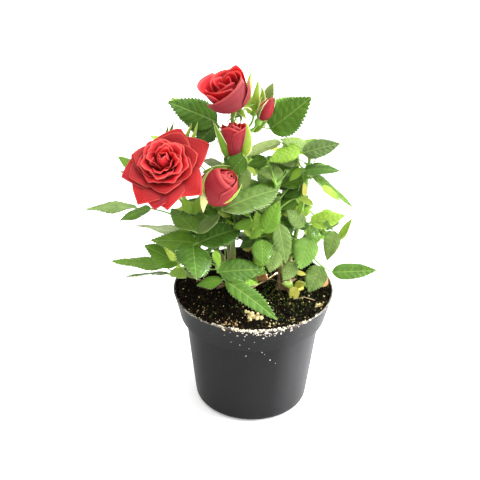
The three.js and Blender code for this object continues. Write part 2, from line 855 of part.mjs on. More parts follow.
function makeMesh( name, solid ) {

	const { vertProperties, triVerts } = solid.getMesh();
	const geometry = new THREE.BufferGeometry();
	geometry.setAttribute( 'position', new THREE.BufferAttribute( vertProperties.slice(), 3 ) );
	geometry.setIndex( new THREE.BufferAttribute( triVerts.slice(), 1 ) );
	geometry.computeVertexNormals();
	const look = looks[ name.split( '_' )[ 0 ] ];
	const mesh = new THREE.Mesh( geometry, new THREE.MeshStandardMaterial( { ...look, metalness: 0 } ) );
	mesh.name = name;
	return mesh;

}

const group = new THREE.Group();
group.name = 'rose_bush';
for ( const [ name, solid ] of Object.entries( solids ) ) group.add( makeMesh( name, solid ) );

export default group;
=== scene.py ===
import math
from functools import partial

import bmesh
import bpy
import numpy as np
from mathutils import Matrix, Vector, noise
from mathutils.bvhtree import BVHTree


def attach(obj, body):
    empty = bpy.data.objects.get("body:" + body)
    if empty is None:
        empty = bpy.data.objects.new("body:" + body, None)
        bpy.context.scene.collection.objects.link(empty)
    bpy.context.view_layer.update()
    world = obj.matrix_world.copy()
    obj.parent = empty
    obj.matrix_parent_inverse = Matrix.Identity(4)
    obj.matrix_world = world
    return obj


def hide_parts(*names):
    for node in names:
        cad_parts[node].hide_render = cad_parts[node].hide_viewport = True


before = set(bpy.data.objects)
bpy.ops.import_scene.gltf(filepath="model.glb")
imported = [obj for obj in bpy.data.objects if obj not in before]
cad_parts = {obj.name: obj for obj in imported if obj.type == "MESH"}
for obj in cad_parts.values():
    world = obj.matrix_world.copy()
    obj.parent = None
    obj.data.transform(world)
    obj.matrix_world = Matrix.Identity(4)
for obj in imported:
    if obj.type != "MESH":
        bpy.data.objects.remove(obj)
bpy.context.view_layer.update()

mm = 0.001
mmPerMetre = 1000  # divided by the size of a pattern in millimetres, this is its texture's scale
up = np.array([0.0, 0.0, 1.0])
# where each chance starts
seeds = {"roots": 40, "canes": 60, "shoots": 120, "fill": 190, "fillRows": 301, "seen": 390, "petals": 977}


# small helpers: lengths in millimetres until a piece is made

def seededNumbers(seed):
    # shares from 0 to 1, by the rule that the part's source uses
    state = seed
    while True:
        state = state * 16807 % 2147483647
        yield state / 2147483647


def unit(v):
    return v / np.linalg.norm(v)


def heading(bearing, rise):
    b, r = math.radians(bearing), math.radians(rise)
    return np.array([math.cos(b) * math.cos(r), math.sin(b) * math.cos(r), math.sin(r)])


def turned(v, axis, degrees):
    a = math.radians(degrees)
    return v * math.cos(a) + np.cross(axis, v) * math.sin(a) + axis * (axis @ v) * (1 - math.cos(a))


def squareTo(direction, way):
    return unit(direction - way * (direction @ way))


def bezier(path, t):
    t = np.asarray(t, float)[..., None]
    return path[0] * (1 - t) ** 2 + path[1] * 2 * t * (1 - t) + path[2] * t ** 2


def bezierWay(path, t):
    return unit((path[1] - path[0]) * (1 - t) + (path[2] - path[1]) * t)


def lumpNoise(point, scale):
    return noise.noise(Vector(point) / scale)


# materials

def srgb(hexText):
    values = [int(hexText[i:i + 2], 16) / 255 for i in (1, 3, 5)]
    linear = [v / 12.92 if v <= 0.04045 else ((v + 0.055) / 1.055) ** 2.4 for v in values]
    return (*linear, 1.0)


usualSettings = {"Mix": {"data_type": "RGBA"}, "MapRange": {"interpolation_type": "SMOOTHSTEP"}}


def addNode(tree, kind, *inputs, output=0, stops=(), **settings):
    # inputs in the order that the node shows: numbers, colours or what another node gives
    node = tree.nodes.new("ShaderNode" + kind)
    for name, value in {**usualSettings.get(kind, {}), **settings}.items():
        setattr(node, name, value)
    for k, (place, hexText) in enumerate(stops):
        ramp = node.color_ramp.elements
        element = ramp[k] if k < len(ramp) else ramp.new(place)
        element.position, element.color = place, srgb(hexText)
    for socket, value in zip([s for s in node.inputs if s.enabled], inputs):
        if isinstance(value, bpy.types.NodeSocket):
            tree.links.new(socket, value)
        else:
            socket.default_value = value
    return [s for s in node.outputs if s.enabled][output]


def newFinish(name, roughness=0.5, ior=1.5, **sockets):
    # a material, a function that adds nodes to it and the place on the piece, in metres
    material = bpy.data.materials.new(name)
    material.use_nodes = True
    shader = material.node_tree.nodes["Principled BSDF"]
    for socket, value in {"Roughness": roughness, "IOR": ior, **sockets}.items():
        shader.inputs[socket.replace("_", " ")].default_value = value
    node = partial(addNode, material.node_tree)
    return material, node, node("TexCoord", output=3)


def dress(material, colour, height=None, depthMm=0.1, strength=1.0, roughness=None):
    # colour, relief and roughness that differ over the piece
    tree = material.node_tree
    shader = tree.nodes["Principled BSDF"]
    tree.links.new(shader.inputs["Base Color"], colour)
    if height:
        bump = addNode(tree, "Bump", strength, depthMm * mm)
        tree.links.new(bump.node.inputs["Height"], height)
        tree.links.new(shader.inputs["Normal"], bump)
    if roughness:
        tree.links.new(shader.inputs["Roughness"], roughness)


def mottledFinish(name, dark, light, mottle, grain, depthMm, roughness, ior=1.5, **sockets):
    # two colours that run into each other; mottle and grain are a size in mm and a fineness
    material, node, place = newFinish(name, roughness, ior, **sockets)
    factor, height = (node("TexNoise", place, mmPerMetre / size, detail) for size, detail in (mottle, grain))
    dress(material, node("Mix", factor, srgb(dark), srgb(light)), height, depthMm)
    return material


# pieces are gathered in batches of points and faces

def newBatch():
    return {"points": [], "faces": [], "finish": [], "uv": [], "tone": [], "count": 0}


def addTo(batch, points, faces, finish=0, uv=None, tone=0.5):
    n = len(points)
    batch["points"].append(np.asarray(points, float))
    start = batch["count"]
    batch["faces"] += [tuple(start + i for i in face) for face in faces]
    batch["finish"] += list(finish) if isinstance(finish, (list, np.ndarray)) else [finish] * len(faces)
    batch["uv"].append(np.zeros((n, 2)) if uv is None else uv)
    batch["tone"].append(np.full(n, tone, float) if np.isscalar(tone) else tone)
    batch["count"] += n


def newMesh(name, points, faces):
    mesh = bpy.data.meshes.new(name)
    mesh.from_pydata((np.asarray(points, float) * mm).tolist(), [], faces)
    return mesh


def addObject(name, data):
    made = bpy.data.objects.new(name, data)
    bpy.context.scene.collection.objects.link(made)
    return made


def makePiece(name, batch, materials, nodes=()):
    mesh = newMesh(name, np.concatenate(batch["points"]), batch["faces"])
    for material in materials:
        mesh.materials.append(material)
    mesh.polygons.foreach_set("material_index", batch["finish"])
    corner = np.zeros(len(mesh.loops), np.int32)
    mesh.loops.foreach_get("vertex_index", corner)
    layer = mesh.uv_layers.new(name="bladeUv")
    layer.data.foreach_set("uv", np.concatenate(batch["uv"])[corner].ravel())
    tone = mesh.attributes.new("tone", "FLOAT", "POINT")
    tone.data.foreach_set("value", np.concatenate(batch["tone"]))
    mesh.polygons.foreach_set("use_smooth", [True] * len(mesh.polygons))
    mesh.update()
    piece = addObject(name, mesh)
    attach(piece, "root")
    if nodes:
        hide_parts(*nodes)
    return piece


def gridFaces(rows, columns, start=0, closed=False, flip=False):
    faces = []
    for r in range(rows - 1):
        for c in range(columns if closed else columns - 1):
            d = (c + 1) % columns
            face = [r * columns + c, r * columns + d, (r + 1) * columns + d, (r + 1) * columns + c]
            faces.append(tuple(start + i for i in (face[::-1] if flip else face)))
    return faces


def sheetFaces(rows, columns):
    under = rows * columns
    faces = gridFaces(rows, columns) + gridFaces(rows, columns, under, flip=True)
    edge = [c for c in range(columns)]
    edge += [r * columns + columns - 1 for r in range(1, rows)]
    edge += [(rows - 1) * columns + c for c in range(columns - 2, -1, -1)]
    edge += [r * columns for r in range(rows - 2, 0, -1)]
    for a, b in zip(edge, edge[1:] + edge[:1]):
        faces.append((b, a, a + under, b + under))
    return faces


def addTube(batch, centres, radii, sides=8, finish=0, tone=0.5, ripple=None):
    centres = np.asarray(centres, float)
    count = len(centres)
    ways = np.gradient(centres, axis=0)
    side = np.array([1.0, 0, 0]) if abs(unit(ways[0])[2]) > 0.9 else up
    angles = 2 * np.pi * np.arange(sides) / sides
    points, uv = [], []
    run = 0.0
    for k in range(count):
        way = unit(ways[k])
        side = unit(side - way * (side @ way))
        other = np.cross(way, side)
        radius = np.full(sides, radii[k] if np.ndim(radii) else radii, float)
        if ripple:
            radius = radius * ripple(centres[k], angles)
        run += np.linalg.norm(centres[k] - centres[k - 1]) if k else 0
        around = np.outer(radius * np.cos(angles), side) + np.outer(radius * np.sin(angles), other)
        points.append(centres[k] + around)
        uv.append(np.stack([np.arange(sides) / sides, np.full(sides, run / 10)], 1))
    faces = gridFaces(count, sides, closed=True)
    faces += [tuple(range(sides - 1, -1, -1)), tuple((count - 1) * sides + i for i in range(sides))]
    addTo(batch, np.concatenate(points), faces, finish, np.concatenate(uv), tone)


def lumpShape(subdivisions):
    ball = bmesh.new()
    bmesh.ops.create_icosphere(ball, subdivisions=subdivisions, radius=1)
    points = np.array([v.co[:] for v in ball.verts])
    faces = [tuple(v.index for v in f.verts) for f in ball.faces]
    ball.free()
    return points, faces


crumbShape, pebbleShape = lumpShape(1), lumpShape(2)


def addLump(batch, shape, centre, radii, rng, finish=0, tone=0.5, rugged=0.25, normal=None):
    points, faces = shape
    turn = np.linalg.qr(rng.normal(size=(3, 3)))[0]
    if np.linalg.det(turn) < 0:
        turn[:, 0] *= -1
    own = points * (1 + rugged * rng.uniform(-1, 1, (len(points), 1))) * radii
    if normal is None:
        own = own @ turn.T
    else:
        side = squareTo(turn[0], normal)
        own = own @ np.array([side, np.cross(normal, side), normal])
    addTo(batch, centre + own, faces, finish, tone=tone)


# camera at the photo's angle, fitted to the pot's ellipses: degrees, millimetres, shifts in pixels

cameraSetup = {
    "rise": 32.5, "distance": 960, "aim": (0, 0, 95), "lens": 95.6, "sensor": 36, "clip": (0.05, 20),
    "shiftRight": 14.5, "shiftDown": 46.2, "focalPixels": 1275, "roll": 1.5,
}
pictureSide = 480


def placeCamera():
    c = cameraSetup
    e = math.radians(c["rise"])
    back = Vector((0, -math.cos(e), math.sin(e)))
    right, above = Vector((1, 0, 0)), Vector((0, math.sin(e), math.cos(e)))
    b, a = (math.atan2(c[key], c["focalPixels"]) for key in ("shiftDown", "shiftRight"))
    forward = -back
    above, forward = above * math.cos(b) - forward * math.sin(b), above * math.sin(b) + forward * math.cos(b)
    right, forward = right * math.cos(a) + forward * math.sin(a), forward * math.cos(a) - right * math.sin(a)
    r = math.radians(c["roll"])
    right, above = right * math.cos(r) + above * math.sin(r), above * math.cos(r) - right * math.sin(r)
    place = (Vector(c["aim"]) + back * c["distance"]) * mm
    data = bpy.data.cameras.new("camera")
    data.lens, data.sensor_width = c["lens"], c["sensor"]
    data.clip_start, data.clip_end = c["clip"]  # metres
    camera = addObject("camera", data)
    turn = Matrix((right, above, -forward)).transposed()
    camera.matrix_world = Matrix.Translation(place) @ turn.to_4x4()
    bpy.context.scene.camera = camera
    return np.array(place) / mm, np.array(turn)


eye, eyeTurn = placeCamera()
pixelReach = pictureSide * cameraSetup["lens"] / cameraSetup["sensor"]
pictureMiddle = pictureSide / 2


def pictureSpot(x, y, depth):
    # the point of the line of sight through a pixel that lies so far behind the pot's middle
    way = eyeTurn @ np.array([(x - pictureMiddle) / pixelReach, (pictureMiddle - y) / pixelReach, -1])
    return eye + way * (depth - eye[1]) / way[1]


def inPicture(points):
    own = (points - eye) @ eyeTurn
    return pictureMiddle + pixelReach * own[:, :2] * (-1, 1) / own[:, 2:]


bpy.context.scene.view_settings.view_transform = "Standard"  # a bright product photo, white stays white
print("camera placed")


# white studio: floor, soft box lights and a white room

# places and sizes in metres from the middle of the pot's foot, the paper's mottle in mm, spread in degrees
studio = {
    "room": 1.0, "glow": 0.22, "paperReach": 3.0, "paperMottle": 4,
    "sky": {"place": (0.1, 0.2, 1.8), "size": 2.4, "watts": 30},
    "key": {"place": (0.5, 0.0, 1.1), "size": 0.7, "watts": 15},
    "side": {"place": (1.0, 0.0, 0.35), "size": 1.0, "watts": 18},
    # a gridded box that lights the pot's right side alone
    "low": {"place": (0.82, 0.3, 0.03), "size": 0.14, "watts": 1.0, "spread": 11, "aimHeight": 0.038},
}


def addLight(name, place, size, watts, spread=180, aimHeight=0.13):
    data = bpy.data.lights.new(name, "AREA")
    data.shape, data.size, data.energy = "SQUARE", size, watts
    data.spread = math.radians(spread)
    light = addObject(name, data)
    aim = Vector((0, 0, aimHeight)) - Vector(place)
    light.location = place
    light.rotation_euler = aim.to_track_quat("-Z", "Y").to_euler()


def makeStudio():
    world = bpy.data.worlds.new("room")
    world.use_nodes = True
    ground = world.node_tree.nodes["Background"]
    ground.inputs["Color"].default_value = srgb("#FFFFFF")
    ground.inputs["Strength"].default_value = studio["room"]
    bpy.context.scene.world = world
    for name in ("sky", "key", "side", "low"):
        addLight(name, **studio[name])
    # white seamless paper, lit from below too: matt, a faint mottle that only shows close up
    paper, node, place = newFinish("white seamless paper, matt", 0.9, Emission_Color=srgb("#FFFFFF"),
                                   Emission_Strength=studio["glow"])
    mottle = node("TexNoise", place, mmPerMetre / studio["paperMottle"], 3)
    colour = node("Mix", mottle, srgb("#FFFFFF"), srgb("#FAFAFA"))
    dress(paper, colour)
    r = studio["paperReach"] / mm
    mesh = newMesh("floor", [(-r, -r, 0), (r, -r, 0), (r, r, 0), (-r, r, 0)], [(0, 1, 2, 3)])
    mesh.materials.append(paper)
    floor = addObject("floor", mesh)
    floor.location.z = -0.2 * mm  # just under the pot's foot


makeStudio()
print("studio lit")


# pot: one lathe turned profile with drain holes

potSizes = {
    "baseRadius": 43, "corner": 5, "floor": 1.8,
    # outside from above the corner over the foot of the band and the rim, and back down inside
    "wall": [(43.3, 7), (46, 30), (48.8, 54), (50.75, 71), (51.0, 73.4), (51.3, 74.0), (54.7, 74.0),
             (54.95, 74.15), (55.05, 74.45), (55.4, 76.4), (57.5, 85), (59.7, 93.6), (60.0, 94.3),
             (59.9, 94.8), (59.5, 95.0), (59.1, 95.0), (58.8, 94.8), (58.65, 94.2), (57.4, 90),
             (53.7, 76.3), (49.7, 73), (45, 32), (41.7, 5), (40.6, 2.9), (38, 1.8), (20, 1.8)],
    "sides": 160, "drains": 6, "drainRadius": 4, "drainCircle": 31, "drainReach": (-3, 6), "sharpAbove": 38,
}


def potFinish():
    # polypropylene, injection moulded: grey-black satin skin with faint flow marks and dust
    material, node, place = newFinish("grey polypropylene, moulded satin", 0.42, 1.49,
                                      Specular_IOR_Level=0.045)
    flow = node("Mapping", place, (0, 0, 0), (0, 0, 0), (1, 1, 0.25))
    cloud = node("TexNoise", flow, mmPerMetre / 30, 4)
    colour = node("Mix", cloud, srgb("#1E1E1F"), srgb("#262627"))
    specks = node("TexNoise", place, mmPerMetre / 2.2, 4)
    dust = node("MapRange", specks, 0.62, 0.78, 0, 0.22)
    height = node("SeparateXYZ", place, output=2)
    nearRim = node("MapRange", height, 70 * mm, 95 * mm, 0.15, 1)
    dusty = node("Math", dust, nearRim, operation="MULTIPLY")
    colour = node("Mix", dusty, colour, srgb("#8B8A86"))
    # the edge of the rim is painted lighter: a painted highlight along it, mixed with worn lime
    edge = node("MapRange", height, 94.2 * mm, 94.9 * mm)
    patches = node("MapRange", node("TexNoise", place, mmPerMetre / 5, 4), 0.35, 0.6, 0.25, 0.8)
    rimHighlightAndWear = node("Math", edge, patches, operation="MULTIPLY")
    colour = node("Mix", rimHighlightAndWear, colour, srgb("#8E8880"))
    satin = node("MapRange", cloud, 0.2, 0.8, 0.36, 0.5)
    dress(material, colour, node("TexNoise", place, mmPerMetre / 1.6, 3), 0.06, 0.5, satin)
    return material


def turnOnLathe(outline, sides, topRings=()):
    # a closed solid: its outline from the middle of its foot to the middle of its top, turned round z
    angles = 2 * np.pi * np.arange(sides) / sides
    rings = [np.stack([radius * np.cos(angles), radius * np.sin(angles), np.full(sides, z)], 1)
             for radius, z in outline[1:-1]] + list(topRings)
    faces = [(0, 1 + (i + 1) % sides, 1 + i) for i in range(sides)]
    faces += gridFaces(len(rings), sides, 1, closed=True)
    last, top = 1 + (len(rings) - 1) * sides, 1 + len(rings) * sides
    faces += [(last + i, last + (i + 1) % sides, top) for i in range(sides)]
    batch = newBatch()
    addTo(batch, np.concatenate([[[0, 0, outline[0][1]]], *rings, [[0, 0, outline[-1][1]]]]), faces)
    return batch


def makePot():
    p = potSizes
    outline = [(0, 0), (20, 0), (p["baseRadius"] - p["corner"], 0)]
    for k in range(1, 7):
        a = math.radians(90 * k / 6)
        radius = p["baseRadius"] - p["corner"] * (1 - math.sin(a))
        outline.append((radius, p["corner"] * (1 - math.cos(a))))
    batch = turnOnLathe(outline + p["wall"] + [(0, p["floor"])], p["sides"])
    shell = makePiece("pot_shell", batch, [potFinish()], ["pot"])
    drains = newBatch()
    for i in range(p["drains"]):
        a = 2 * math.pi * (i + 0.5) / p["drains"]
        x, y = p["drainCircle"] * math.cos(a), p["drainCircle"] * math.sin(a)
        addTube(drains, [(x, y, z) for z in p["drainReach"]], p["drainRadius"], 24)
    cutter = addObject("drains", newMesh("drains", np.concatenate(drains["points"]), drains["faces"]))
    cut = shell.modifiers.new("drain holes", "BOOLEAN")
    cut.operation, cut.solver, cut.object = "DIFFERENCE", "EXACT", cutter
    bpy.context.view_layer.update()
    done = bpy.data.meshes.new_from_object(shell.evaluated_get(bpy.context.evaluated_depsgraph_get()))
    shell.modifiers.clear()
    shell.data = done
    bpy.data.objects.remove(cutter)
    done.set_sharp_from_angle(angle=math.radians(p["sharpAbove"]))


makePot()
print("pot made")


# lime crust and splashes on the rim

crustSizes = {
    "seed": 5, "rimTop": 95,
    # how many grains, then the bearing they gather round and how far they stray from it
    "rim": (230, 273, 19), "splash": (44, 278, 9), "left": (36, 222, 13),
    # splashes that show on the wall: bearing, height and size
    "spots": [(254.7, 82, 0.4), (264.4, 86, 0.35), (261.3, 80.3, 0.5), (265.4, 66.7, 0.45),
              (278.6, 70.2, 0.5), (285.9, 62.1, 0.55), (281, 68, 0.35), (268, 77, 0.3), (291, 58, 0.3),
              (250, 88, 0.3), (272, 84, 0.3)],
    # scuffed streaks on the rim, front left: bearing and half length
    "scuffs": [(216, 1.4), (219, 2.0), (222.5, 1.2), (232, 0.9)],
}


def crustFinish():
    # lime left by hard water: chalky, cream to white, gritty
    material, node, place = newFinish("lime crust, chalky", 0.85)
    colour = node("ValToRGB", node("TexNoise", place, mmPerMetre / 2.5, 3),
                  stops=[(0.3, "#BFAE92"), (0.5, "#DED3BE"), (0.75, "#F6F1E6")])
    dress(material, colour, node("TexNoise", place, mmPerMetre / 0.5, 2), 0.15)
    return material


def wallRadius(z):
    return np.interp(z, [5, 73, 75, 93.6], [43, 51, 55, 59.7])


def roundSpot(a, radius, z):
    return np.array([radius * math.cos(a), radius * math.sin(a), z])


def makeCrust():
    s = crustSizes
    rng = np.random.default_rng(s["seed"])
    batch = newBatch()
    top = s["rimTop"]
    count, *bearing = s["rim"]
    for _ in range(count):
        a = math.radians(rng.normal(*bearing))
        r = rng.uniform(57.7, 60.0)
        size = 0.22 + 0.85 * rng.uniform() ** 2
        centre = roundSpot(a, r, top + 0.05 if r < 59.7 else rng.uniform(top - 1, top))
        addLump(batch, crumbShape, centre, size * np.array([1.3, 1, 0.6]), rng, rugged=0.3)
    count, *bearing = s["splash"]
    for _ in range(count):
        a = math.radians(rng.normal(*bearing))
        z = top - 0.4 - abs(rng.normal(0, 3.2))
        radii = rng.uniform(0.2, 0.62) * np.array([1.4, 1.1, 0.35])
        addLump(batch, crumbShape, roundSpot(a, wallRadius(z) + 0.05, z), radii, rng,
                normal=unit(roundSpot(a, 1, -0.2)))
    for degrees, z, size in s["spots"]:
        a = math.radians(degrees)
        addLump(batch, crumbShape, roundSpot(a, wallRadius(z) + 0.05, z), size * np.array([1, 1, 0.4]), rng,
                normal=unit(roundSpot(a, 1, -0.15)))
    count, *bearing = s["left"]
    for _ in range(count):
        centre = roundSpot(math.radians(rng.normal(*bearing)), rng.uniform(58.6, 60.0), top)
        addLump(batch, crumbShape, centre, rng.uniform(0.12, 0.3) * np.array([1.6, 1, 0.4]), rng)
    for degrees, length in s["scuffs"]:
        a = math.radians(degrees)
        centre = roundSpot(a, 59.95, top - 0.4)
        along = np.array([-math.sin(a), math.cos(a), 0]) * length
        addTube(batch, [centre - along, centre, centre + along], [0.05, 0.22, 0.05], 6)
    makePiece("lime_crust", batch, [crustFinish()])


makeCrust()
print("crust made")


# compost with everything that lies on it

soilSizes = {
    "seed": 21, "top": 92, "edgeTop": 93.2, "flatRadius": 48, "edgeRadius": 57.9, "ripple": 1.3,
    "sides": 120, "rings": 30, "crumbs": 2300, "rimCrumbs": 260, "spilt": 60, "fibres": 170,
    "grit": 240, "moss": 460, "chip": (3.5, -38.5), "chipRadii": (3.2, 1.5, 0.9),
    # pale pieces in heaps at the front, as they fell: middle, spread, count, size, finish
    "heaps": [((0.3, -36), 6.5, 26, 1.6, 0), ((-19, -49), 8, 60, 0.8, 2), ((47, -21), 3.5, 14, 1.1, 0),
              ((14, -44), 8, 18, 0.6, 0), ((30, -40), 9, 16, 0.6, 0), ((-38, -30), 9, 12, 0.6, 1)],
}


def compostFinish():
    # peat compost, damp: nearly black brown with fibres, greener at the right where moss grows
    material, node, place = newFinish("peat compost, damp", 0.92, Specular_IOR_Level=0.05)
    coarse = node("TexNoise", place, mmPerMetre / 6, 5)
    fine = node("TexNoise", place, mmPerMetre / 0.9, 4)
    colour = node("ValToRGB", fine, stops=[(0.3, "#050302"), (0.55, "#0C0805"), (0.8, "#1E150C")])
    rightSide = node("MapRange", node("SeparateXYZ", place), -10 * mm, 50 * mm)
    patches = node("MapRange", coarse, 0.48, 0.66)
    mossy = node("Math", patches, rightSide, operation="MULTIPLY")
    mossy = node("Math", mossy, 0.45, operation="MULTIPLY")
    dress(material, node("Mix", mossy, colour, srgb("#232C14")), fine, 0.5)
    return material


def crumbFinish(name, dark, light, rough=0.9):
    # lumps and grains: colour spread over each grain and from grain to grain
    material, node, place = newFinish(name, rough, Specular_IOR_Level=0.08)
    within = node("Math", node("TexNoise", place, mmPerMetre / 0.8, 3), 0.5, operation="MULTIPLY")
    tone = node("Attribute", output=2, attribute_name="tone")
    mottle = node("Math", within, node("Math", tone, 0.6, operation="MULTIPLY"), operation="ADD")
    colour = node("Mix", node("MapRange", mottle, 0.2, 0.9), srgb(dark), srgb(light))
    dress(material, colour, node("TexNoise", place, mmPerMetre / 0.4, 2), 0.2)
    return material


def soilTop(x, y):
    s = soilSizes
    radius = math.hypot(x, y)
    base = np.interp(radius, [0, s["flatRadius"], s["edgeRadius"]], [s["top"], s["top"], s["edgeTop"]])
    lumps = lumpNoise((x, y, 3), 7) * 0.7 + lumpNoise((x, y, 9), 2.6) * 0.5
    return base + s["ripple"] * lumps


def makeSoil():
    s = soilSizes
    angles = 2 * np.pi * np.arange(s["sides"]) / s["sides"]
    outline = [(0, 2.2), (38, 2.2), (41.2, 5.3), (49.2, 73), (53.2, 76.6), (s["edgeRadius"] - 0.2, s["top"])]
    surface = []
    for k in range(s["rings"]):
        radius = s["edgeRadius"] * (1 - k / s["rings"])
        x, y = radius * np.cos(angles), radius * np.sin(angles)
        surface.append(np.stack([x, y, [soilTop(a, b) for a, b in zip(x, y)]], 1))
    batch = turnOnLathe(outline + [(0, soilTop(0, 0))], s["sides"], surface)
    makePiece("compost", batch, [compostFinish()], ["soil"])


def scatterOnSoil(rng, spread=57.0):
    radius, a = spread * math.sqrt(rng.uniform()), rng.uniform(0, 2 * math.pi)
    x, y = radius * math.cos(a), radius * math.sin(a)
    return np.array([x, y, soilTop(x, y)])


def makeLitter():
    s = soilSizes
    rng = np.random.default_rng(s["seed"])
    crumbs = newBatch()
    for _ in range(s["crumbs"]):
        size = 0.35 + 1.5 * rng.uniform() ** 3
        addLump(crumbs, crumbShape, scatterOnSoil(rng), size * rng.uniform(0.6, 1.2, 3), rng,
                tone=rng.uniform(0, 1) ** 2)
    # more of it lies against the rim, and a little over it at the left
    for _ in range(s["rimCrumbs"]):
        a = math.radians(rng.uniform(150, 330))
        centre = roundSpot(a, rng.uniform(54, 58.2), 93.2 + rng.uniform(0, 1.6))
        addLump(crumbs, crumbShape, centre, rng.uniform(0.4, 1.3) * rng.uniform(0.7, 1.2, 3), rng,
                tone=rng.uniform(0, 1) ** 2)
    for _ in range(s["spilt"]):
        centre = roundSpot(math.radians(rng.normal(200, 16)), rng.uniform(58, 60), 95.1)
        addLump(crumbs, crumbShape, centre, rng.uniform(0.2, 0.6, 3), rng, tone=rng.uniform(0, 0.6))
    for _ in range(s["fibres"]):
        start = scatterOnSoil(rng, 55) + up * 0.4
        along = heading(rng.uniform(0, 360), rng.uniform(-5, 25)) * rng.uniform(2, 7)
        bend = rng.normal(size=3) * 0.7
        line = [start, start + along / 2 + bend, start + along]
        addTube(crumbs, line, [0.14, 0.2, 0.08], 4, tone=rng.uniform(0.3, 1))
    makePiece("compost_crumbs", crumbs, [crumbFinish("peat crumbs, damp", "#070402", "#2C2214")])

    grit = newBatch()
    for _ in range(s["grit"]):
        centre = scatterOnSoil(rng) + up * 0.3
        size = 0.25 + 0.6 * rng.uniform() ** 2
        addLump(grit, crumbShape, centre, size * rng.uniform(0.7, 1.2, 3), rng, int(rng.uniform() < 0.45),
                rng.uniform())
    for middle, spread, count, size, finish in s["heaps"]:
        for _ in range(count):
            x, y = middle[0] + rng.normal(0, spread / 2), middle[1] + rng.normal(0, spread / 2.6)
            centre = np.array([x, y, soilTop(x, y) + 0.35 * size])
            big = size * rng.uniform(0.55, 1.25)
            shape = pebbleShape if big > 0.9 else crumbShape
            addLump(grit, shape, centre, big * rng.uniform(0.7, 1.15, 3), rng, finish, rng.uniform(), 0.3)
    # one flat pale chip
    centre = np.array([*s["chip"], soilTop(*s["chip"]) + 0.8])
    addLump(grit, pebbleShape, centre, np.array(s["chipRadii"]), rng, tone=0.9, rugged=0.1, normal=up)
    finishes = [crumbFinish("perlite and straw grit", "#8C7744", "#DFD09C"),
                crumbFinish("tan bark chips, dry", "#8A6238", "#D8B98A"),
                crumbFinish("cream fertiliser prills", "#9C7C52", "#DEC79C")]
    makePiece("grit", grit, finishes)

    moss = newBatch()
    for _ in range(s["moss"]):
        spot = roundSpot(math.radians(rng.normal(0, 55)), rng.uniform(8, 57), 0)
        centre = np.array([spot[0], spot[1], soilTop(spot[0], spot[1]) + 0.2])
        for _ in range(3):
            tip = centre + heading(rng.uniform(0, 360), rng.uniform(35, 85)) * rng.uniform(0.8, 2.0)
            addTube(moss, [centre, (centre + tip) / 2, tip], [0.22, 0.26, 0.05], 4, tone=rng.uniform())
    makePiece("moss", moss, [crumbFinish("moss, damp", "#1E2C0E", "#64793A", 0.8)])


makeSoil()
makeLitter()
print("compost and litter made")


# old wood and canes

# middle of each stump's foot
stumps = {"stem_left": np.array([-16, 8, 92.3]), "stem_right": np.array([23, 6, 92.3])}
stumpSizes = {
    "height": 17, "foot": 6.2, "neck": 4.2, "sides": 28, "sunk": 1.5, "levels": 15,
    "roots": 4, "rootReach": (11, 15), "rootRadii": (2.6, 1.7, 0.7), "stub": 8, "stubRadii": (2.0, 1.7),
}

# stump, knee and top of each shoot, and the share of its way where it enters its foliage
shoots = {
    "left": ("stem_left", (-34, -2, 140), (-57, -22, 186), 0.36),
    "tall": ("stem_left", (-16, 6, 160), (-18, -6, 238), 0.4),
    "front": ("stem_left", (-21, -20, 124), (-25, -40, 132), 0.5),
    "back_left": ("stem_left", (-22, 30, 134), (-32, 40, 168), 0.38),
    "centre": ("stem_right", (12, -6, 140), (14, -12, 188), 0.36),
    "right": ("stem_right", (34, 2, 150), (38, 0, 208), 0.36),
    "low_right": ("stem_right", (40, 14, 124), (56, 18, 134), 0.5),
    "back_right": ("stem_right", (26, 32, 134), (28, 42, 172), 0.38),
}
caneSizes = {
    "root": 2.3, "tip": 1.0, "footLift": 101, "sides": 16, "knot": 0.22, "knotReach": 0.012,
    "prickleGap": 9, "prickle": (1.0, 1.9),
}


def barkFinish():
    # rose wood, several years old: grey-brown bark that splits along the stem
    material, node, place = newFinish("old rose bark, dry", 0.88)
    along = node("Mapping", place, (0, 0, 0), (0, 0, 0), (1, 1, 0.3))
    grain = node("TexNoise", along, mmPerMetre / 1.6, 5)
    colour = node("ValToRGB", grain, stops=[(0.3, "#3A2C1C"), (0.5, "#6E5638"), (0.72, "#A48C66")])
    dress(material, colour, grain, 0.5)
    return material


def caneFinish():
    # young rose cane: waxy green skin, browner low down
    material, node, place = newFinish("green rose cane, waxy", 0.5, 1.45)
    along = node("Mapping", place, (0, 0, 0), (0, 0, 0), (1, 1, 0.35))
    skin = node("TexNoise", along, mmPerMetre / 3, 4)
    low = node("Mix", skin, srgb("#6B5A30"), srgb("#8A8246"))
    high = node("Mix", skin, srgb("#557C2C"), srgb("#86A94A"))
    greener = node("MapRange", node("SeparateXYZ", place, output=2), 105 * mm, 140 * mm)
    dress(material, node("Mix", greener, low, high), skin, 0.15)
    return material


def shootPath(name):
    stump, knee, top, _ = shoots[name]
    foot = stumps[stump] * np.array([1, 1, 0]) + up * caneSizes["footLift"]
    return np.array([foot, knee, top], float)


def caneRadius(t):
    return caneSizes["root"] + (caneSizes["tip"] - caneSizes["root"]) * t


def addPrickle(batch, root, outward, along, length):
    # a prickle is flat at its foot and hooks down
    base = root - outward * 0.3
    tip = root + outward * length - along * length * 0.45
    middle = root + outward * length * 0.45 - along * length * 0.05
    addTube(batch, [base, middle, tip], [length * 0.34, length * 0.17, 0.04], 5, tone=0.8)


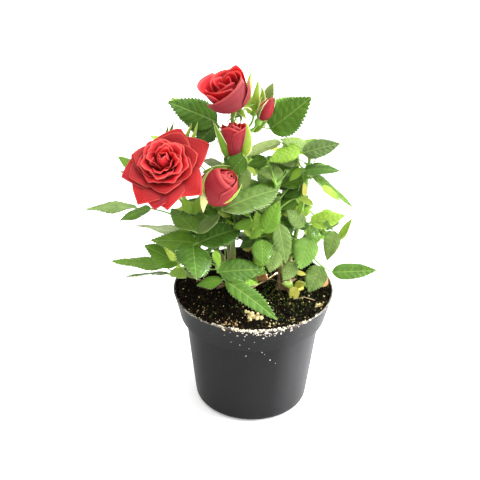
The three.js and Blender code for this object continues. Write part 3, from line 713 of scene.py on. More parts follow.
def addCane(batch, path, fromShare, toShare, steps, seed, nodesAt=()):
    s = caneSizes
    rng = np.random.default_rng(seed)
    shares = np.linspace(fromShare, toShare, steps)
    swell = 1 + sum(s["knot"] * np.exp(-((shares - at) / s["knotReach"]) ** 2) for at in nodesAt)

    def ripple(centre, angles):
        around = [centre + 3 * np.array([math.cos(a), math.sin(a), 0]) for a in angles]
        return 1 + 0.07 * np.array([lumpNoise(spot, 3) for spot in around])

    addTube(batch, bezier(path, shares), caneRadius(shares) * swell, s["sides"], ripple=ripple)
    length = np.linalg.norm(bezier(path, toShare) - bezier(path, fromShare))
    for _ in range(int(length / s["prickleGap"])):
        t = rng.uniform(fromShare + 0.02, toShare - 0.02)
        way = bezierWay(path, t)
        outward = squareTo(rng.normal(size=3), way)
        root = bezier(path, t) + outward * caneRadius(t) * 0.9
        addPrickle(batch, root, outward, way, rng.uniform(*s["prickle"]))


def makeWood():
    s = stumpSizes
    wood = newBatch()
    for order, (name, foot) in enumerate(stumps.items()):
        levels = np.linspace(0, 1, s["levels"])
        centres = [foot + up * (s["height"] * level - s["sunk"]) for level in levels]
        flare = np.interp(levels, [0, 0.18, 0.6, 1], [1, 0.78, 0, 0.3])
        radii = s["neck"] + (s["foot"] - s["neck"]) * flare
        radii[-1] *= 0.72

        def ripple(centre, angles):
            knobs = 0.1 * np.sin(2 * angles + (centre[2] - 92) / 6)
            around = [(3 * math.cos(a), 3 * math.sin(a), centre[2] / 5 + 40 * order) for a in angles]
            return 1 + knobs + 0.13 * np.array([lumpNoise(spot, 1) for spot in around])

        addTube(wood, centres, radii, s["sides"], ripple=ripple)
        # roots at its foot and a cut stub
        rng = np.random.default_rng(seeds["roots"] + order)
        for k in range(s["roots"]):
            way = heading(360 / s["roots"] * k + rng.uniform(0, 50), -6)
            start = foot + up * s["sunk"]
            end = foot + way * rng.uniform(*s["rootReach"])
            end[2] = soilTop(end[0], end[1]) - 0.4
            addTube(wood, [start, (start + end) / 2 + up * 0.6, end], s["rootRadii"], 9)
        stub = foot + heading(200 + 130 * order, 30) * s["stub"] + up * 8
        addTube(wood, [foot + up * 7, stub], s["stubRadii"], 12)
    makePiece("old_wood", wood, [barkFinish()], list(stumps))
    canes = newBatch()
    for order, (name, shoot) in enumerate(shoots.items()):
        fork = shoot[3]
        addCane(canes, shootPath(name), 0, fork, 22, seeds["canes"] + order, [0.15, fork - 0.04])
    makePiece("canes", canes, [caneFinish()], ["bough_" + name for name in shoots])


makeWood()
print("old wood and canes made")


# leaves: first those that show in the picture, row by row, then seeded ones between and behind them

leafShape = {
    "halfWidth": 0.29, "teeth": 16, "toothDepth": 0.036, "thick": 0.32, "fold": 0.16, "droop": 0.14,
    "veins": 7, "quilt": 0.013, "columns": (-1, -0.8, -0.42, 0, 0.42, 0.8, 1),
    "pairSizes": (0.8, 0.62), "pairPlaces": (0.9, 0.5), "pairSpread": (64, 72), "leastShare": 0.2,
    "rachisRadius": 0.7, "firstTooth": 0.035, "toothedShare": 0.95, "smallTeeth": 12, "smallBelow": 22,
    "rachisSteps": 12, "rachisTaper": 0.35, "rachisSwell": (1.9, 1.3), "usualLength": 26.4, "netCell": 0.48,
}
# the stalk of a leaf that shows: its arch as a share of its reach, its girth along the way
seenStalk = {"arch": 0.16, "steps": 14, "girth": ((0, 0.06, 0.15, 1), (2.0, 1.4, 1.1, 0.7)),
             "towardEnd": 0.35, "mostBend": 0.6, "jointGap": 0.3, "sideRadii": (0.5, 0.42, 0.38)}
stipuleShape = {"turn": 16, "halfWidth": 0.11, "bow": 0.12, "fold": 0.02, "thick": 0.18, "rows": 7}

# leaves as the photo shows them, leaflet by leaflet with the end one first: foot of the blade and its tip,
# each as a place in the picture and its depth, then width as a share of length, turn from facing the
# camera, tint and, where it isn't the usual one, droop
seenLeaves = {
    "left": [
        [(137, 208, 10, 87, 210, 12, 0.5, 72, "grey", 0.24), (151, 208, 2, 120, 220, -4, 0.5, 54, "dark")],
        [(182, 233, 0, 136, 227, -6, 0.42, 114, "grey")],
        [(193, 245, -38, 194, 278, -70, 0.75, 15, "deep"), (196, 243, -36, 152, 239, -30, 0.5, 35, "mid"),
         (198, 243, -38, 240, 229, -14, 0.58, 40, "dark")],
        [(178, 263, -34, 144, 247, -34, 0.62, 25, "mid"), (180, 268, -33, 163, 243, -33, 0.22, 10, "lime")],
        [(167, 267, -22, 112, 264, -22, 0.42, 66, "fresh"), (170, 274, -26, 126, 276, -26, 0.4, 84, "grey"),
         (172, 270, -24, 186, 277, -40, 0.5, 30, "fresh")],
        [(194, 231, -40, 173, 209, -14, 0.55, 40, "dark"), (197, 233, -40, 219, 214, -24, 0.58, 43, "grey")],
        [(190, 213, -30, 182, 197, -24, 0.55, 20, "fresh"), (195, 214, -30, 199, 196, -22, 0.5, 30, "mid"),
         (194, 214, -28, 207, 225, -34, 0.6, 30, "dark")],
        [(134, 168, 0, 118, 157, 2, 0.5, 30, "mid"), (136, 177, -2, 120, 171, 0, 0.4, 40, "fresh")],
    ],
    "tall": [
        [(217, 122, 4, 169, 101, 6, 0.55, 5, "deep"), (217, 124, 2, 196, 146, -6, 0.64, 20, "dark")],
        [(270, 129, 2, 313, 100, 0, 0.64, 5, "deep"), (266, 122, 10, 302, 97, 10, 0.6, 10, "mid"),
         (253, 132, -2, 267, 121, -2, 0.4, 20, "fresh")],
        [(222, 210, -40, 279, 189, -14, 0.55, 50, "sage")],
        [(244, 156, -30, 229, 176, -33, 0.8, 15, "deep")],
        [(246, 168, -4, 243, 191, -10, 0.62, 20, "grey")],
        [(222, 166, 2, 202, 160, 4, 0.55, 130, "grey")],
        [(252, 222, -22, 234, 228, -24, 0.6, 20, "fresh"), (250, 216, -20, 240, 206, -18, 0.55, 30, "mid")],
        [(266, 101, 6, 273, 83, 6, 0.5, 10, "grey")],
    ],
    "front": [
        [(226, 281, -49, 278, 318, -71, 0.3, 20, "deep"), (219, 272, -44, 263, 270, -38, 0.54, 25, "deep"),
         (222, 280, -48, 197, 284, -50, 0.6, 43, "mid"), (228, 281, -48, 258, 283, -46, 0.38, 40, "mid")],
        [(214, 251, -46, 220, 266, -50, 0.5, 14, "mid")],
    ],
    "centre": [
        [(264, 233, -26, 279, 202, -20, 0.52, 5, "fresh"), (262, 229, -28, 250, 239, -30, 0.5, 10, "fresh")],
        [(262, 240, -30, 262, 266, -38, 0.82, 12, "dark"), (275, 250, -24, 270, 272, -30, 0.8, 10, "grey")],
        [(259, 236, -24, 256, 211, -22, 0.5, 12, "fresh"), (254, 236, -24, 241, 222, -24, 0.5, 20, "lime"),
         (256, 238, -20, 240, 246, -16, 0.6, 20, "dark")],
        [(279, 224, -20, 286, 263, -26, 0.42, 10, "grey"), (283, 222, 4, 272, 206, 2, 0.6, 20, "dark")],
        [(283, 173, -4, 258, 174, -4, 0.62, 20, "grey"), (276, 186, -6, 258, 186, -8, 0.55, 30, "dark")],
        [(296, 200, 0, 278, 209, -4, 0.7, 15, "dark"), (302, 190, 2, 283, 196, 0, 0.62, 20, "dark"),
         (302, 180, 4, 281, 185, 2, 0.6, 20, "dark")],
        [(267, 160, 6, 248, 165, 4, 0.62, 20, "dark")],
        [(252, 246, 0, 243, 250, 0, 0.7, 20, "yellow")],
    ],
    "right": [
        [(303, 153, 0, 339, 142, 2, 0.52, 15, "dull"), (308, 149, 6, 281, 138, 8, 0.52, 25, "grey")],
        [(304, 171, -6, 337, 172, -8, 0.6, 58, "dark", 0.42)],
        [(311, 175, -8, 351, 209, -12, 0.3, 62, "dark"), (322, 186, -18, 340, 200, -22, 0.34, 30, "lime")],
        [(300, 149, 2, 268, 160, -4, 0.56, 25, "fresh"), (281, 142, 8, 241, 157, 2, 0.42, 128, "lime")],
        [(298, 160, 4, 280, 163, 2, 0.68, 15, "grey"), (301, 168, 0, 290, 181, -4, 0.5, 20, "mid")],
        [(300, 197, -6, 314, 205, -10, 0.4, 15, "lime"), (302, 201, -8, 298, 216, -12, 0.34, 20, "fresh"),
         (305, 196, -6, 303, 182, -8, 0.3, 20, "yellow")],
        [(304, 226, -14, 287, 210, -12, 0.7, 20, "grey")],
        [(310, 222, -8, 345, 217, -6, 0.5, 15, "fresh"), (325, 221, -10, 333, 231, -12, 0.5, 40, "dark"),
         (309, 227, -10, 319, 241, -12, 0.75, 20, "mid")],
        [(303, 178, -4, 309, 170, -4, 0.45, 20, "fresh")],
    ],
    "low_right": [
        [(335, 231, 8, 327, 260, 2, 0.55, 10, "grey"), (339, 240, 8, 352, 219, 10, 0.3, 20, "lime")],
        [(332, 272, -4, 376, 273, -4, 0.4, 25, "dark"), (321, 266, -6, 309, 292, -16, 0.75, 5, "grey")],
        [(309, 237, -12, 301, 269, -22, 0.75, 8, "pale")],
        [(294, 262, -16, 284, 281, -24, 0.72, 10, "grey")],
        [(296, 272, -10, 306, 275, -12, 0.5, 30, "yellow")],
    ],
}

# where the rest may show in the picture: inside this line, clear of the places where the sky shows
fillLine = [(222, 158), (232, 152), (262, 156), (300, 152), (303, 176), (302, 196), (312, 206), (306, 222),
            (316, 226), (314, 262), (300, 270), (262, 268), (246, 262), (232, 240), (212, 262), (196, 280),
            (178, 270), (160, 262), (150, 240), (178, 236), (184, 214), (196, 200), (204, 212), (216, 206),
            (226, 196)]
fillFront, fillBack = -28, 104  # how far forward and back they may reach
skyGaps = [(255, 177, 5), (266, 180, 3), (281, 190, 5), (246, 235, 2), (274, 229, 3), (298, 234, 5),
           (176, 248, 3), (183, 265, 2), (195, 236, 2), (307, 217, 4)]

# leaves between and behind those, tried by a seeded rule: how many, from which share of the shoot, round
# which bearing, how far to each side of it and the end leaflet's length
fill = {
    "left": [(26, 0.45, 110, 60, 28), (50, 0.4, 0, 180, 17)],
    "tall": [(26, 0.42, 120, 80, 28), (110, 0.3, 0, 180, 17)],
    "front": [(60, 0.4, 60, 120, 18)],
    "centre": [(20, 0.4, 90, 60, 24), (130, 0.3, 0, 180, 16)],
    "right": [(24, 0.4, 90, 60, 26), (90, 0.38, 0, 180, 16)],
    "low_right": [(16, 0.5, 110, 60, 26), (50, 0.45, 0, 180, 17)],
    "back_left": [(50, 0.38, 105, 90, 31), (60, 0.3, 0, 180, 19)],
    "back_right": [(50, 0.38, 90, 90, 31), (60, 0.3, 0, 180, 19)],
}
# the least of each draw and how much more it may be
fillDraws = {"rise": (-14, 60), "length": (0.75, 0.4), "reach": (1.25, 0.8), "faceRise": (75, -50)}
fillArch, fillEnd = 0.15, 0.98
fillTints = ("mid", "fresh", "deep", "mid", "dull", "dark", "lime")

tints = {
    "dark": ("#34570F", "#547A1A"), "mid": ("#4B7216", "#739A27"), "fresh": ("#5F8822", "#8CAE38"),
    "grey": ("#5E7838", "#88A256"), "lime": ("#7E9E30", "#A8BE4A"), "yellow": ("#A9A83A", "#CDC45E"),
    "dull": ("#445C28", "#657F3D"), "deep": ("#2A4A0C", "#456C16"), "pale": ("#6F9840", "#95B45C"),
    "sage": ("#3B5522", "#567232"),
}
tintNames = list(tints)


def leafFinish(name, deep, light, vein, under):
    # living leaf: waxy upper side, matt paler underside, pale veins that branch to the teeth
    material, node, place = newFinish(name, 0.62 if under else 0.44, 1.4, Specular_IOR_Level=0.32)
    uv = node("UVMap", uv_map="bladeUv")
    x, along, _ = node("SeparateXYZ", uv).node.outputs
    across = node("Math", x, operation="ABSOLUTE")
    # seven pairs of side veins leave the midrib and bend to the tip
    lag = node("Math", across, 1.25, operation="POWER")
    lag = node("Math", lag, 1.5, operation="MULTIPLY")
    wave = node("Math", along, lag, operation="SUBTRACT")
    wave = node("Math", wave, leafShape["veins"], operation="MULTIPLY")
    ridge = node("Math", wave, 0.5, operation="PINGPONG")
    side = node("MapRange", ridge, 0.03, 0.11, 1, 0)
    fade = node("MapRange", across, 0.03, 0.27, 0.5, 0.12)
    side = node("Math", side, fade, operation="MULTIPLY")
    midrib = node("MapRange", across, 0.006, 0.017, 1, 0)
    veins = node("Math", side, midrib, operation="MAXIMUM")
    # colour differs from leaflet to leaflet and in clouds over each
    mottle = node("Math", node("TexNoise", place, mmPerMetre / 5, 3), 0.5, operation="MULTIPLY")
    tone = node("Attribute", output=2, attribute_name="tone")
    shade = node("Math", mottle, node("Math", tone, 0.5, operation="MULTIPLY"), operation="ADD")
    base = node("Mix", node("MapRange", shade, 0.25, 0.75), srgb(deep), srgb(light))
    veins = node("Math", veins, 0.6 if under else 0.3, operation="MULTIPLY")
    colour = node("Mix", veins, base, srgb(vein))
    # the blade is quilted between its veins, the midrib sunk, with a net of cells about half a mm across
    net = node("TexVoronoi", uv, leafShape["usualLength"] / leafShape["netCell"], feature="DISTANCE_TO_EDGE")
    net = node("Math", net, 0.3, operation="MINIMUM")
    pillow = node("Math", node("Math", ridge, 1.6, operation="MULTIPLY"), net, operation="ADD")
    sunk = node("Math", midrib, 0.8, operation="MULTIPLY")
    height = node("Math", pillow, sunk, operation="SUBTRACT")
    if under:
        height = node("Math", height, -1.0, operation="MULTIPLY")
    dress(material, colour, height, 0.35, 0.7)
    return material


def leafFinishes():
    made = [leafFinish(f"rose leaf, {name}, upper side", deep, light, "#9AB65A", False)
            for name, (deep, light) in tints.items()]
    made.append(leafFinish("rose leaf, underside", "#8A9C68", "#AFBC8C", "#CBD2AE", True))
    made.append(leafFinish("rose leaf, young underside", "#93AE58", "#B8CB80", "#D2DCA4", True))
    return made


leafMaterials = leafFinishes()
underOf = {name: len(tints) + (name in ("fresh", "lime", "yellow")) for name in tints}


def bladeOutline(t):
    # half the width at each share of the length; 2.74 makes it 1 where it is broadest, a third of the way up
    return 2.74 * np.power(np.clip(t, 0, 1), 0.55) * np.clip(1 - t, 0, 1)


def addLeaflet(batch, base, along, normal, length, finish, numbers, width=0.58, droop=leafShape["droop"]):
    s = leafShape
    side = unit(np.cross(along, normal))
    face = unit(np.cross(side, along))
    teeth = s["teeth"] if length > s["smallBelow"] else s["smallTeeth"]
    step = s["toothedShare"] / teeth
    rows, point = [0.0], [0.0]
    for k in range(teeth):
        rows += [s["firstTooth"] + step * k, s["firstTooth"] + step * (k + 0.62)]
        point += [0.0, 1.0]
    t = np.array(rows + [1.0])[:, None]
    isPoint = np.array(point + [0.0])[:, None]
    q = np.array(s["columns"])[None, :]
    body = width / 2 * bladeOutline(t)
    body[0], body[-1] = 0.014, 0.003
    depth = s["toothDepth"] * np.power(np.clip(body / s["halfWidth"], 0, 1), 0.5)
    edge = (np.abs(q) == 1) * (isPoint * depth - (1 - isPoint) * depth * 0.25)
    x = q * body + np.sign(q) * edge
    ahead = t + (np.abs(q) == 1) * isPoint * step * 0.45
    bow, curl, twist, sway, shade, phase = (next(numbers) for _ in range(6))
    lift = s["fold"] * (0.75 + 0.5 * bow) * np.abs(x)
    lift = lift - (0.5 + 0.9 * curl) * x * x * (0.4 + t)
    quilt = np.sin(np.pi * s["veins"] * (t - 1.5 * np.power(np.abs(x), 1.25))) ** 2
    lift = lift + s["quilt"] * quilt * 4 * np.abs(q) * (1 - np.abs(q) * 0.8)
    waves = np.sin(2 * np.pi * (1.4 * t + phase + 0.2 * q))
    lift = lift + 0.035 * np.abs(q) ** 3 * waves * body / s["halfWidth"]
    lift = lift - (droop + 0.08 * (curl - 0.5)) * t * t
    turn = (twist - 0.5) * 0.5 * t
    x, lift = x * np.cos(turn), lift + x * np.sin(turn)
    x = x + (sway - 0.5) * 0.12 * t * t
    thick = s["thick"] / length * np.ones_like(x)
    rib = (q == 0) * np.clip(1 - t, 0, 1)
    top = lift - rib * 0.006
    bottom = lift - thick - rib * 0.018
    spread = length * np.stack([x, ahead * np.ones_like(x)], -1)

    def place(height):
        flat = base + spread[..., :1] * side + spread[..., 1:] * along
        return (flat + length * height[..., None] * face).reshape(-1, 3)

    rowCount, columnCount = x.shape
    faces = sheetFaces(rowCount, columnCount)
    upper = (rowCount - 1) * (columnCount - 1)
    materials = [tintNames.index(finish)] * upper + [underOf[finish]] * (len(faces) - upper)
    uv = np.stack([q * body + np.sign(q) * edge, ahead * np.ones_like(x)], -1).reshape(-1, 2)
    both = np.concatenate([place(top), place(bottom)])
    addTo(batch, both, faces, materials, np.concatenate([uv, uv]), shade)


def fillRows(name, order):
    numbers = seededNumbers(seeds["fillRows"] + 17 * order)

    def draw(what):
        least, more = fillDraws[what]
        return least + more * next(numbers)

    rows = []
    for count, fromShare, bearing, sweep, blade in fill[name]:
        for i in range(count):
            at = fromShare + (fillEnd - fromShare) * next(numbers)
            toward = bearing + sweep * (2 * next(numbers) - 1)
            rise = draw("rise")
            length = blade * draw("length")
            reach = length * draw("reach")
            tint = fillTints[i % len(fillTints)]
            face = heading(toward if name.startswith("back") else 270, draw("faceRise"))
            rows.append((at, toward, rise, reach, length, 3 if i % 3 else 5, face, fillArch, tint))
    return rows


# room between leaves: coarse shapes of what stands there already

def coarseLeaflet(base, along, normal, length, width=0.56, droop=leafShape["droop"], swell=0.35):
    side = unit(np.cross(along, normal))
    face = unit(np.cross(side, along))
    half = width / 2 * length

    def at(t, reach, lift):
        return base + along * length * t + side * reach + face * (lift - droop * length * t * t)

    points = [at(0.04, 0, 0)]
    for t, share in ((0.22, 0.88), (0.45, 1.0), (0.7, 0.75)):
        reach, fold = half * share, leafShape["fold"] * half * share
        points += [at(t, reach, fold), at(t, 0, swell + 0.2), at(t, -reach, fold), at(t, 0, -swell - 0.3)]
    points.append(at(1, 0, 0))
    tip = len(points) - 1
    faces = []
    for i in range(4):
        j = (i + 1) % 4
        faces.append((0, 1 + i, 1 + j))
        for ring in (1, 5):
            faces.append((ring + i, ring + 4 + i, ring + 4 + j))
            faces.append((ring + i, ring + 4 + j, ring + j))
        faces.append((tip - 4 + i, tip, tip - 4 + j))
    return np.array(points), faces


def coarseTwig(path, fromShare, toShare, radius):
    batch = newBatch()
    addTube(batch, bezier(path, np.linspace(fromShare, toShare, 5)), radius, 3)
    return np.concatenate(batch["points"]), batch["faces"]


def asObstacle(shape, owner):
    points, faces = shape
    tree = BVHTree.FromPolygons([Vector(p) for p in points], faces)
    return {"tree": tree, "low": points.min(0), "high": points.max(0), "owner": owner}


obstacles, mostObstacles = [], 6000
obstacleLows, obstacleHighs = np.zeros((mostObstacles, 3)), np.zeros((mostObstacles, 3))


def addObstacle(shape, owner):
    made = asObstacle(shape, owner)
    obstacleLows[len(obstacles)], obstacleHighs[len(obstacles)] = made["low"], made["high"]
    obstacles.append(made)


# the picture in small cells: how near the camera the pieces that show come in each
cellSize, spotsPerSide = 3, 6
cellCount = pictureSide // cellSize
nearest = np.full((cellCount, cellCount), np.inf)
steps = range(spotsPerSide + 1)
triangleShares = np.array([(i, j) for i in steps for j in steps if i + j <= spotsPerSide]) / spotsPerSide


def pictureCells(points):
    cells = np.clip((inPicture(points) / cellSize).astype(int), 0, cellCount - 1)
    return cells[:, 1], cells[:, 0]


def coverPicture(shape):
    points, faces = shape
    fans = [(face[0], face[k], face[k + 1]) for face in faces for k in range(1, len(face) - 1)]
    corners = points[np.array(fans)]
    a, b = triangleShares[None, :, :1], triangleShares[None, :, 1:]
    spots = corners[:, None, 0] * (1 - a - b) + corners[:, None, 1] * a + corners[:, None, 2] * b
    spots = spots.reshape(-1, 3)
    np.minimum.at(nearest, pictureCells(spots), np.linalg.norm(spots - eye, axis=1))


for node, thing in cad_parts.items():
    if node.startswith(("bloom", "bud", "pot", "soil")):
        cage = np.array([v.co[:] for v in thing.data.vertices]) / mm
        faces = [tuple(f.vertices) for f in thing.data.polygons]
        addObstacle((cage, faces), node)
        # the petals don't fill their cage, so less of it counts as cover
        middle, share = cage.mean(0), 0.72 if node.startswith("bloom") else 1
        coverPicture((middle + share * (cage - middle), faces))
for name in shoots:
    addObstacle(coarseTwig(shootPath(name), 0.1, 1, 1.4), "cane_" + name)


def countTouches(shape, ignore=()):
    mine = asObstacle(shape, None)
    lows, highs = obstacleLows[:len(obstacles)], obstacleHighs[:len(obstacles)]
    apart = np.any(mine["low"] > highs, axis=1) | np.any(lows > mine["high"], axis=1)
    near = [obstacles[i] for i in np.flatnonzero(~apart)]
    return sum(1 for other in near if other["owner"] not in ignore and mine["tree"].overlap(other["tree"]))


def isClear(shape, ignore=()):
    return countTouches(shape, ignore) == 0


# how a leaflet may turn in its own plane, lean and shrink until it stands clear of its neighbours
nudges = [(0, 0, 1), (9, 0, 1), (-9, 0, 1), (0, 14, 1), (0, -14, 1), (16, 10, 0.95), (-16, 10, 0.95),
          (12, -14, 0.9), (-12, -14, 0.9), (24, 0, 0.85), (-24, 0, 0.85), (0, 26, 0.8), (0, -26, 0.8)]


def isInside(x, y, line):
    inside = False
    for (ax, ay), (bx, by) in zip(line, line[1:] + line[:1]):
        if (ay > y) != (by > y) and x < (bx - ax) * (y - ay) / (by - ay) + ax:
            inside = not inside
    return inside


def leavesSkyOpen(shape):
    # hidden by what shows, or inside the filled part and clear of the gaps in it
    points = np.concatenate([shape[0], (shape[0][1:] + shape[0][:-1]) / 2])
    if points[:, 1].min() < fillFront or points[:, 1].max() > fillBack:
        return False
    cover, far = nearest[pictureCells(points)], np.linalg.norm(points - eye, axis=1)
    if np.any(np.isfinite(cover) & (cover > far)):
        return False
    for x, y in inPicture(points[~np.isfinite(cover)]):
        inGap = any(math.hypot(x - gapX, y - gapY) < reach for gapX, gapY, reach in skyGaps)
        if inGap or not isInside(x, y, fillLine):
            return False
    return True


def placeLeaflet(batch, base, way, faceUp, length, tint, numbers, owner):
    normal = squareTo(faceUp, way)
    side = np.cross(way, normal)
    for turn, lean, size in nudges:
        along = turned(turned(way, normal, turn), side, lean)
        facing = squareTo(faceUp, along)
        shape = coarseLeaflet(base + along * 0.6, along, facing, length * size)
        if leavesSkyOpen(shape) and isClear(shape, (owner,)):
            addObstacle(shape, owner + "_blade")
            addLeaflet(batch, base, along, facing, length * size, tint, numbers)
            return True
    return False


def addStipules(batch, stalk, facing, length):
    # two narrow wings along the foot of a leaf stalk
    s = stipuleShape
    base, way = bezier(stalk, 0.03), bezierWay(stalk, 0.05)
    normal = squareTo(facing, way)
    t = np.linspace(0, 1, s["rows"])[:, None]
    q = np.array([-1, 0, 1])[None, :]
    for hand in (1, -1):
        along = turned(way, normal, hand * s["turn"])
        side = unit(np.cross(along, normal))
        x = q * s["halfWidth"] * length * np.sin(np.pi * np.clip(t, 0.02, 0.97) ** 0.7)
        lift = s["bow"] * length * t * t + s["fold"] * length * np.abs(q)
        spot = base + side * x[..., None] + along * (length * t)[..., None] + normal * lift[..., None]
        low = spot - normal * s["thick"]
        both = np.concatenate([spot.reshape(-1, 3), low.reshape(-1, 3)])
        addTo(batch, both, sheetFaces(*x.shape), 1, tone=0.7)


def addLeaf(leaves, twigs, root, row, numbers, owner):
    s = leafShape
    _, bearing, rise, reach, blade, leaflets, faceUp, arch, tint = row
    along = heading(bearing, rise)
    tip = root + along * reach
    path = np.array([root, root + along * reach / 2 + up * reach * arch, tip])
    rachisEnd = max(s["leastShare"], 1 - blade / reach)
    stalk = coarseTwig(path, 0.25, rachisEnd * 0.97, s["rachisRadius"])
    if not isClear(stalk, (owner,)):
        return False
    endPoint = bezier(path, rachisEnd)
    if not placeLeaflet(leaves, endPoint, unit(tip - endPoint), faceUp, blade, tint, numbers, owner):
        return False
    for pair in range((leaflets - 1) // 2):
        place = rachisEnd * s["pairPlaces"][pair]
        way = bezierWay(path, place)
        normal = squareTo(faceUp, way)
        for hand in (1, -1):
            outward = turned(way, normal, hand * s["pairSpread"][pair])
            size = blade * s["pairSizes"][pair]
            placeLeaflet(leaves, bezier(path, place), outward, faceUp, size, tint, numbers, owner)
    shares = np.linspace(0, rachisEnd * 1.01, s["rachisSteps"])
    thin = min(1.0, 0.6 + blade / 90)
    radii = s["rachisRadius"] * thin * (1 - s["rachisTaper"] * shares / rachisEnd)
    radii[:2] *= s["rachisSwell"]
    addTube(twigs, bezier(path, shares), radii, 7, tone=next(numbers))
    addStipules(twigs, path, faceUp, min(9, blade * 0.3))
    addObstacle(stalk, owner + "_stalk")
    return True


def stalkRoot(path, fork, end):
    # a leaf stalk leaves its cane a little below the leaf, or else where the cane is nearest
    shares = np.linspace(fork, 1, 60)
    spots = bezier(path, shares)
    gap = np.linalg.norm(spots - end, axis=1) + 2 * np.clip(spots[:, 2] - end[2] + 6, 0, None)
    return spots[gap.argmin()]


def seenLeaflets(rows, shift):
    # each leaflet of a leaf, moved along its line of sight by a shift in depth
    made = []
    for x, y, depth, tipX, tipY, tipDepth, width, turn, tint, *bent in rows:
        droop = bent[0] if bent else leafShape["droop"]
        foot, tip = pictureSpot(x, y, depth + shift), pictureSpot(tipX, tipY, tipDepth + shift)
        way = unit(tip - foot)
        toEye = squareTo(eye - foot, way)
        other = np.cross(way, toEye)
        other = other * (1 if other[2] > 0 else -1)
        normal = toEye * math.cos(math.radians(turn)) + other * math.sin(math.radians(turn))
        along = unit(way + normal * droop)
        length = np.linalg.norm(tip - foot)
        coarse = coarseLeaflet(foot + along * 0.6, along, normal, length, width * 0.96, droop)
        made.append({"foot": foot, "along": along, "normal": normal, "length": length, "coarse": coarse,
                     "width": width, "tint": tint, "droop": droop})
    return made


depthShifts = (0, 2, -2, 4, -4, 6, -6, 9, -9)


def addSeenLeaf(leaves, twigs, path, fork, rows, numbers, owner):
    # it takes the depth at which it touches the fewest others
    s = seenStalk
    tries = [seenLeaflets(rows, shift) for shift in depthShifts]
    touches = [sum(countTouches(leaflet["coarse"], (owner,)) for leaflet in leaflets) for leaflets in tries]
    leaflets = tries[int(np.argmin(touches))]
    feet = [leaflet["foot"] for leaflet in leaflets]
    end = feet[0]
    root = stalkRoot(path, fork, end)
    reach = np.linalg.norm(end - root)
    bend = root + (end - root) * 0.5 + up * reach * s["arch"]
    if len(rows) > 1:
        # the stalk passes the feet of its side leaflets
        passed = np.mean(feet[1:], axis=0)
        passed = passed + (end - passed) * s["towardEnd"]
        at = min(0.85, max(0.5, 1 - np.linalg.norm(end - passed) / reach))
        bend = (passed - root * (1 - at) ** 2 - end * at ** 2) / (2 * at * (1 - at))
        middle = (root + end) / 2
        far = np.linalg.norm(bend - middle)
        bend = middle + (bend - middle) * min(1, s["mostBend"] * reach / max(far, 0.1))
    stalk = np.array([root, bend, end])
    shares = np.linspace(0, 1, s["steps"])
    line = bezier(stalk, shares)
    radii = leafShape["rachisRadius"] * np.interp(shares, *s["girth"])
    addTube(twigs, line, radii, 7, tone=next(numbers))
    for leaflet in leaflets:
        foot, along = leaflet["foot"], leaflet["along"]
        addObstacle(leaflet["coarse"], owner + "_blade")
        coverPicture(leaflet["coarse"])
        addLeaflet(leaves, foot, along, leaflet["normal"], leaflet["length"], leaflet["tint"], numbers,
                   leaflet["width"], leaflet["droop"])
        closest = line[np.linalg.norm(line - foot, axis=1).argmin()]
        if np.linalg.norm(closest - foot) > s["jointGap"]:
            sag = (closest + foot) / 2 - up * 0.3
            addTube(twigs, [closest, sag, foot + along * 0.5], s["sideRadii"], 6, tone=0.8)
    addStipules(twigs, stalk, eye - root, min(8, reach * 0.3))
    addObstacle(coarseTwig(stalk, 0.2, 0.95, leafShape["rachisRadius"]), owner + "_stalk")


def stalkFinish():
    # leaf and flower stalks: thin, waxy light green
    material, node, place = newFinish("young rose stalk, waxy", 0.48, 1.42)
    tone = node("Attribute", output=2, attribute_name="tone")
    tone = node("Math", tone, 0.4, operation="MULTIPLY")
    skin = node("Math", node("TexNoise", place, mmPerMetre / 4, 3), 0.6, operation="MULTIPLY")
    skin = node("Math", skin, tone, operation="ADD")
    colour = node("Mix", skin, srgb("#56842A"), srgb("#8CB34C"))
    dress(material, colour, node("TexNoise", place, mmPerMetre / 1, 2), 0.08)
    return material


greenStalk = stalkFinish()
# wings at the foot of a leaf stalk: soft and light green
wing = mottledFinish("leaf stalk wing, soft", "#6F9C3A", "#9DBE60", (2.5, 3), (0.8, 2), 0.1, 0.6, 1.4)
leafBatches = {name: newBatch() for name in shoots}
twigBatches = {name: newBatch() for name in shoots}
for order, (name, leafRows) in enumerate(seenLeaves.items()):
    path, fork, numbers = shootPath(name), shoots[name][3], seededNumbers(seeds["seen"] + order)
    for rows in leafRows:
        addSeenLeaf(leafBatches[name], twigBatches[name], path, fork, rows, numbers, "cane_" + name)
for order, name in enumerate(shoots):
    path, numbers = shootPath(name), seededNumbers(seeds["fill"] + order)
    leaves, twigs, owner = leafBatches[name], twigBatches[name], "cane_" + name
    placed = [addLeaf(leaves, twigs, bezier(path, row[0]), row, numbers, owner)
              for row in fillRows(name, order)]
    print("filling leaves on", name, sum(placed))
for order, name in enumerate(shoots):
    fork = shoots[name][3]
    nodesAt = np.linspace(fork + 0.08, 0.92, 5)
    addCane(twigBatches[name], shootPath(name), fork, 1, 46, seeds["shoots"] + order, nodesAt)
    makePiece("leaves_" + name, leafBatches[name], leafMaterials, ["foliage_" + name])
    makePiece("twigs_" + name, twigBatches[name], [greenStalk, wing], ["foliage_" + name])
print("leaves made:", sum(len(b["faces"]) for b in leafBatches.values()), "faces")


# flowers

# half the width of a petal and its streaks, in mm; real ones are finer and wouldn't show in the render
petalPattern = {"half": 16.2, "streakWidth": 0.6, "streakLength": 4.5}


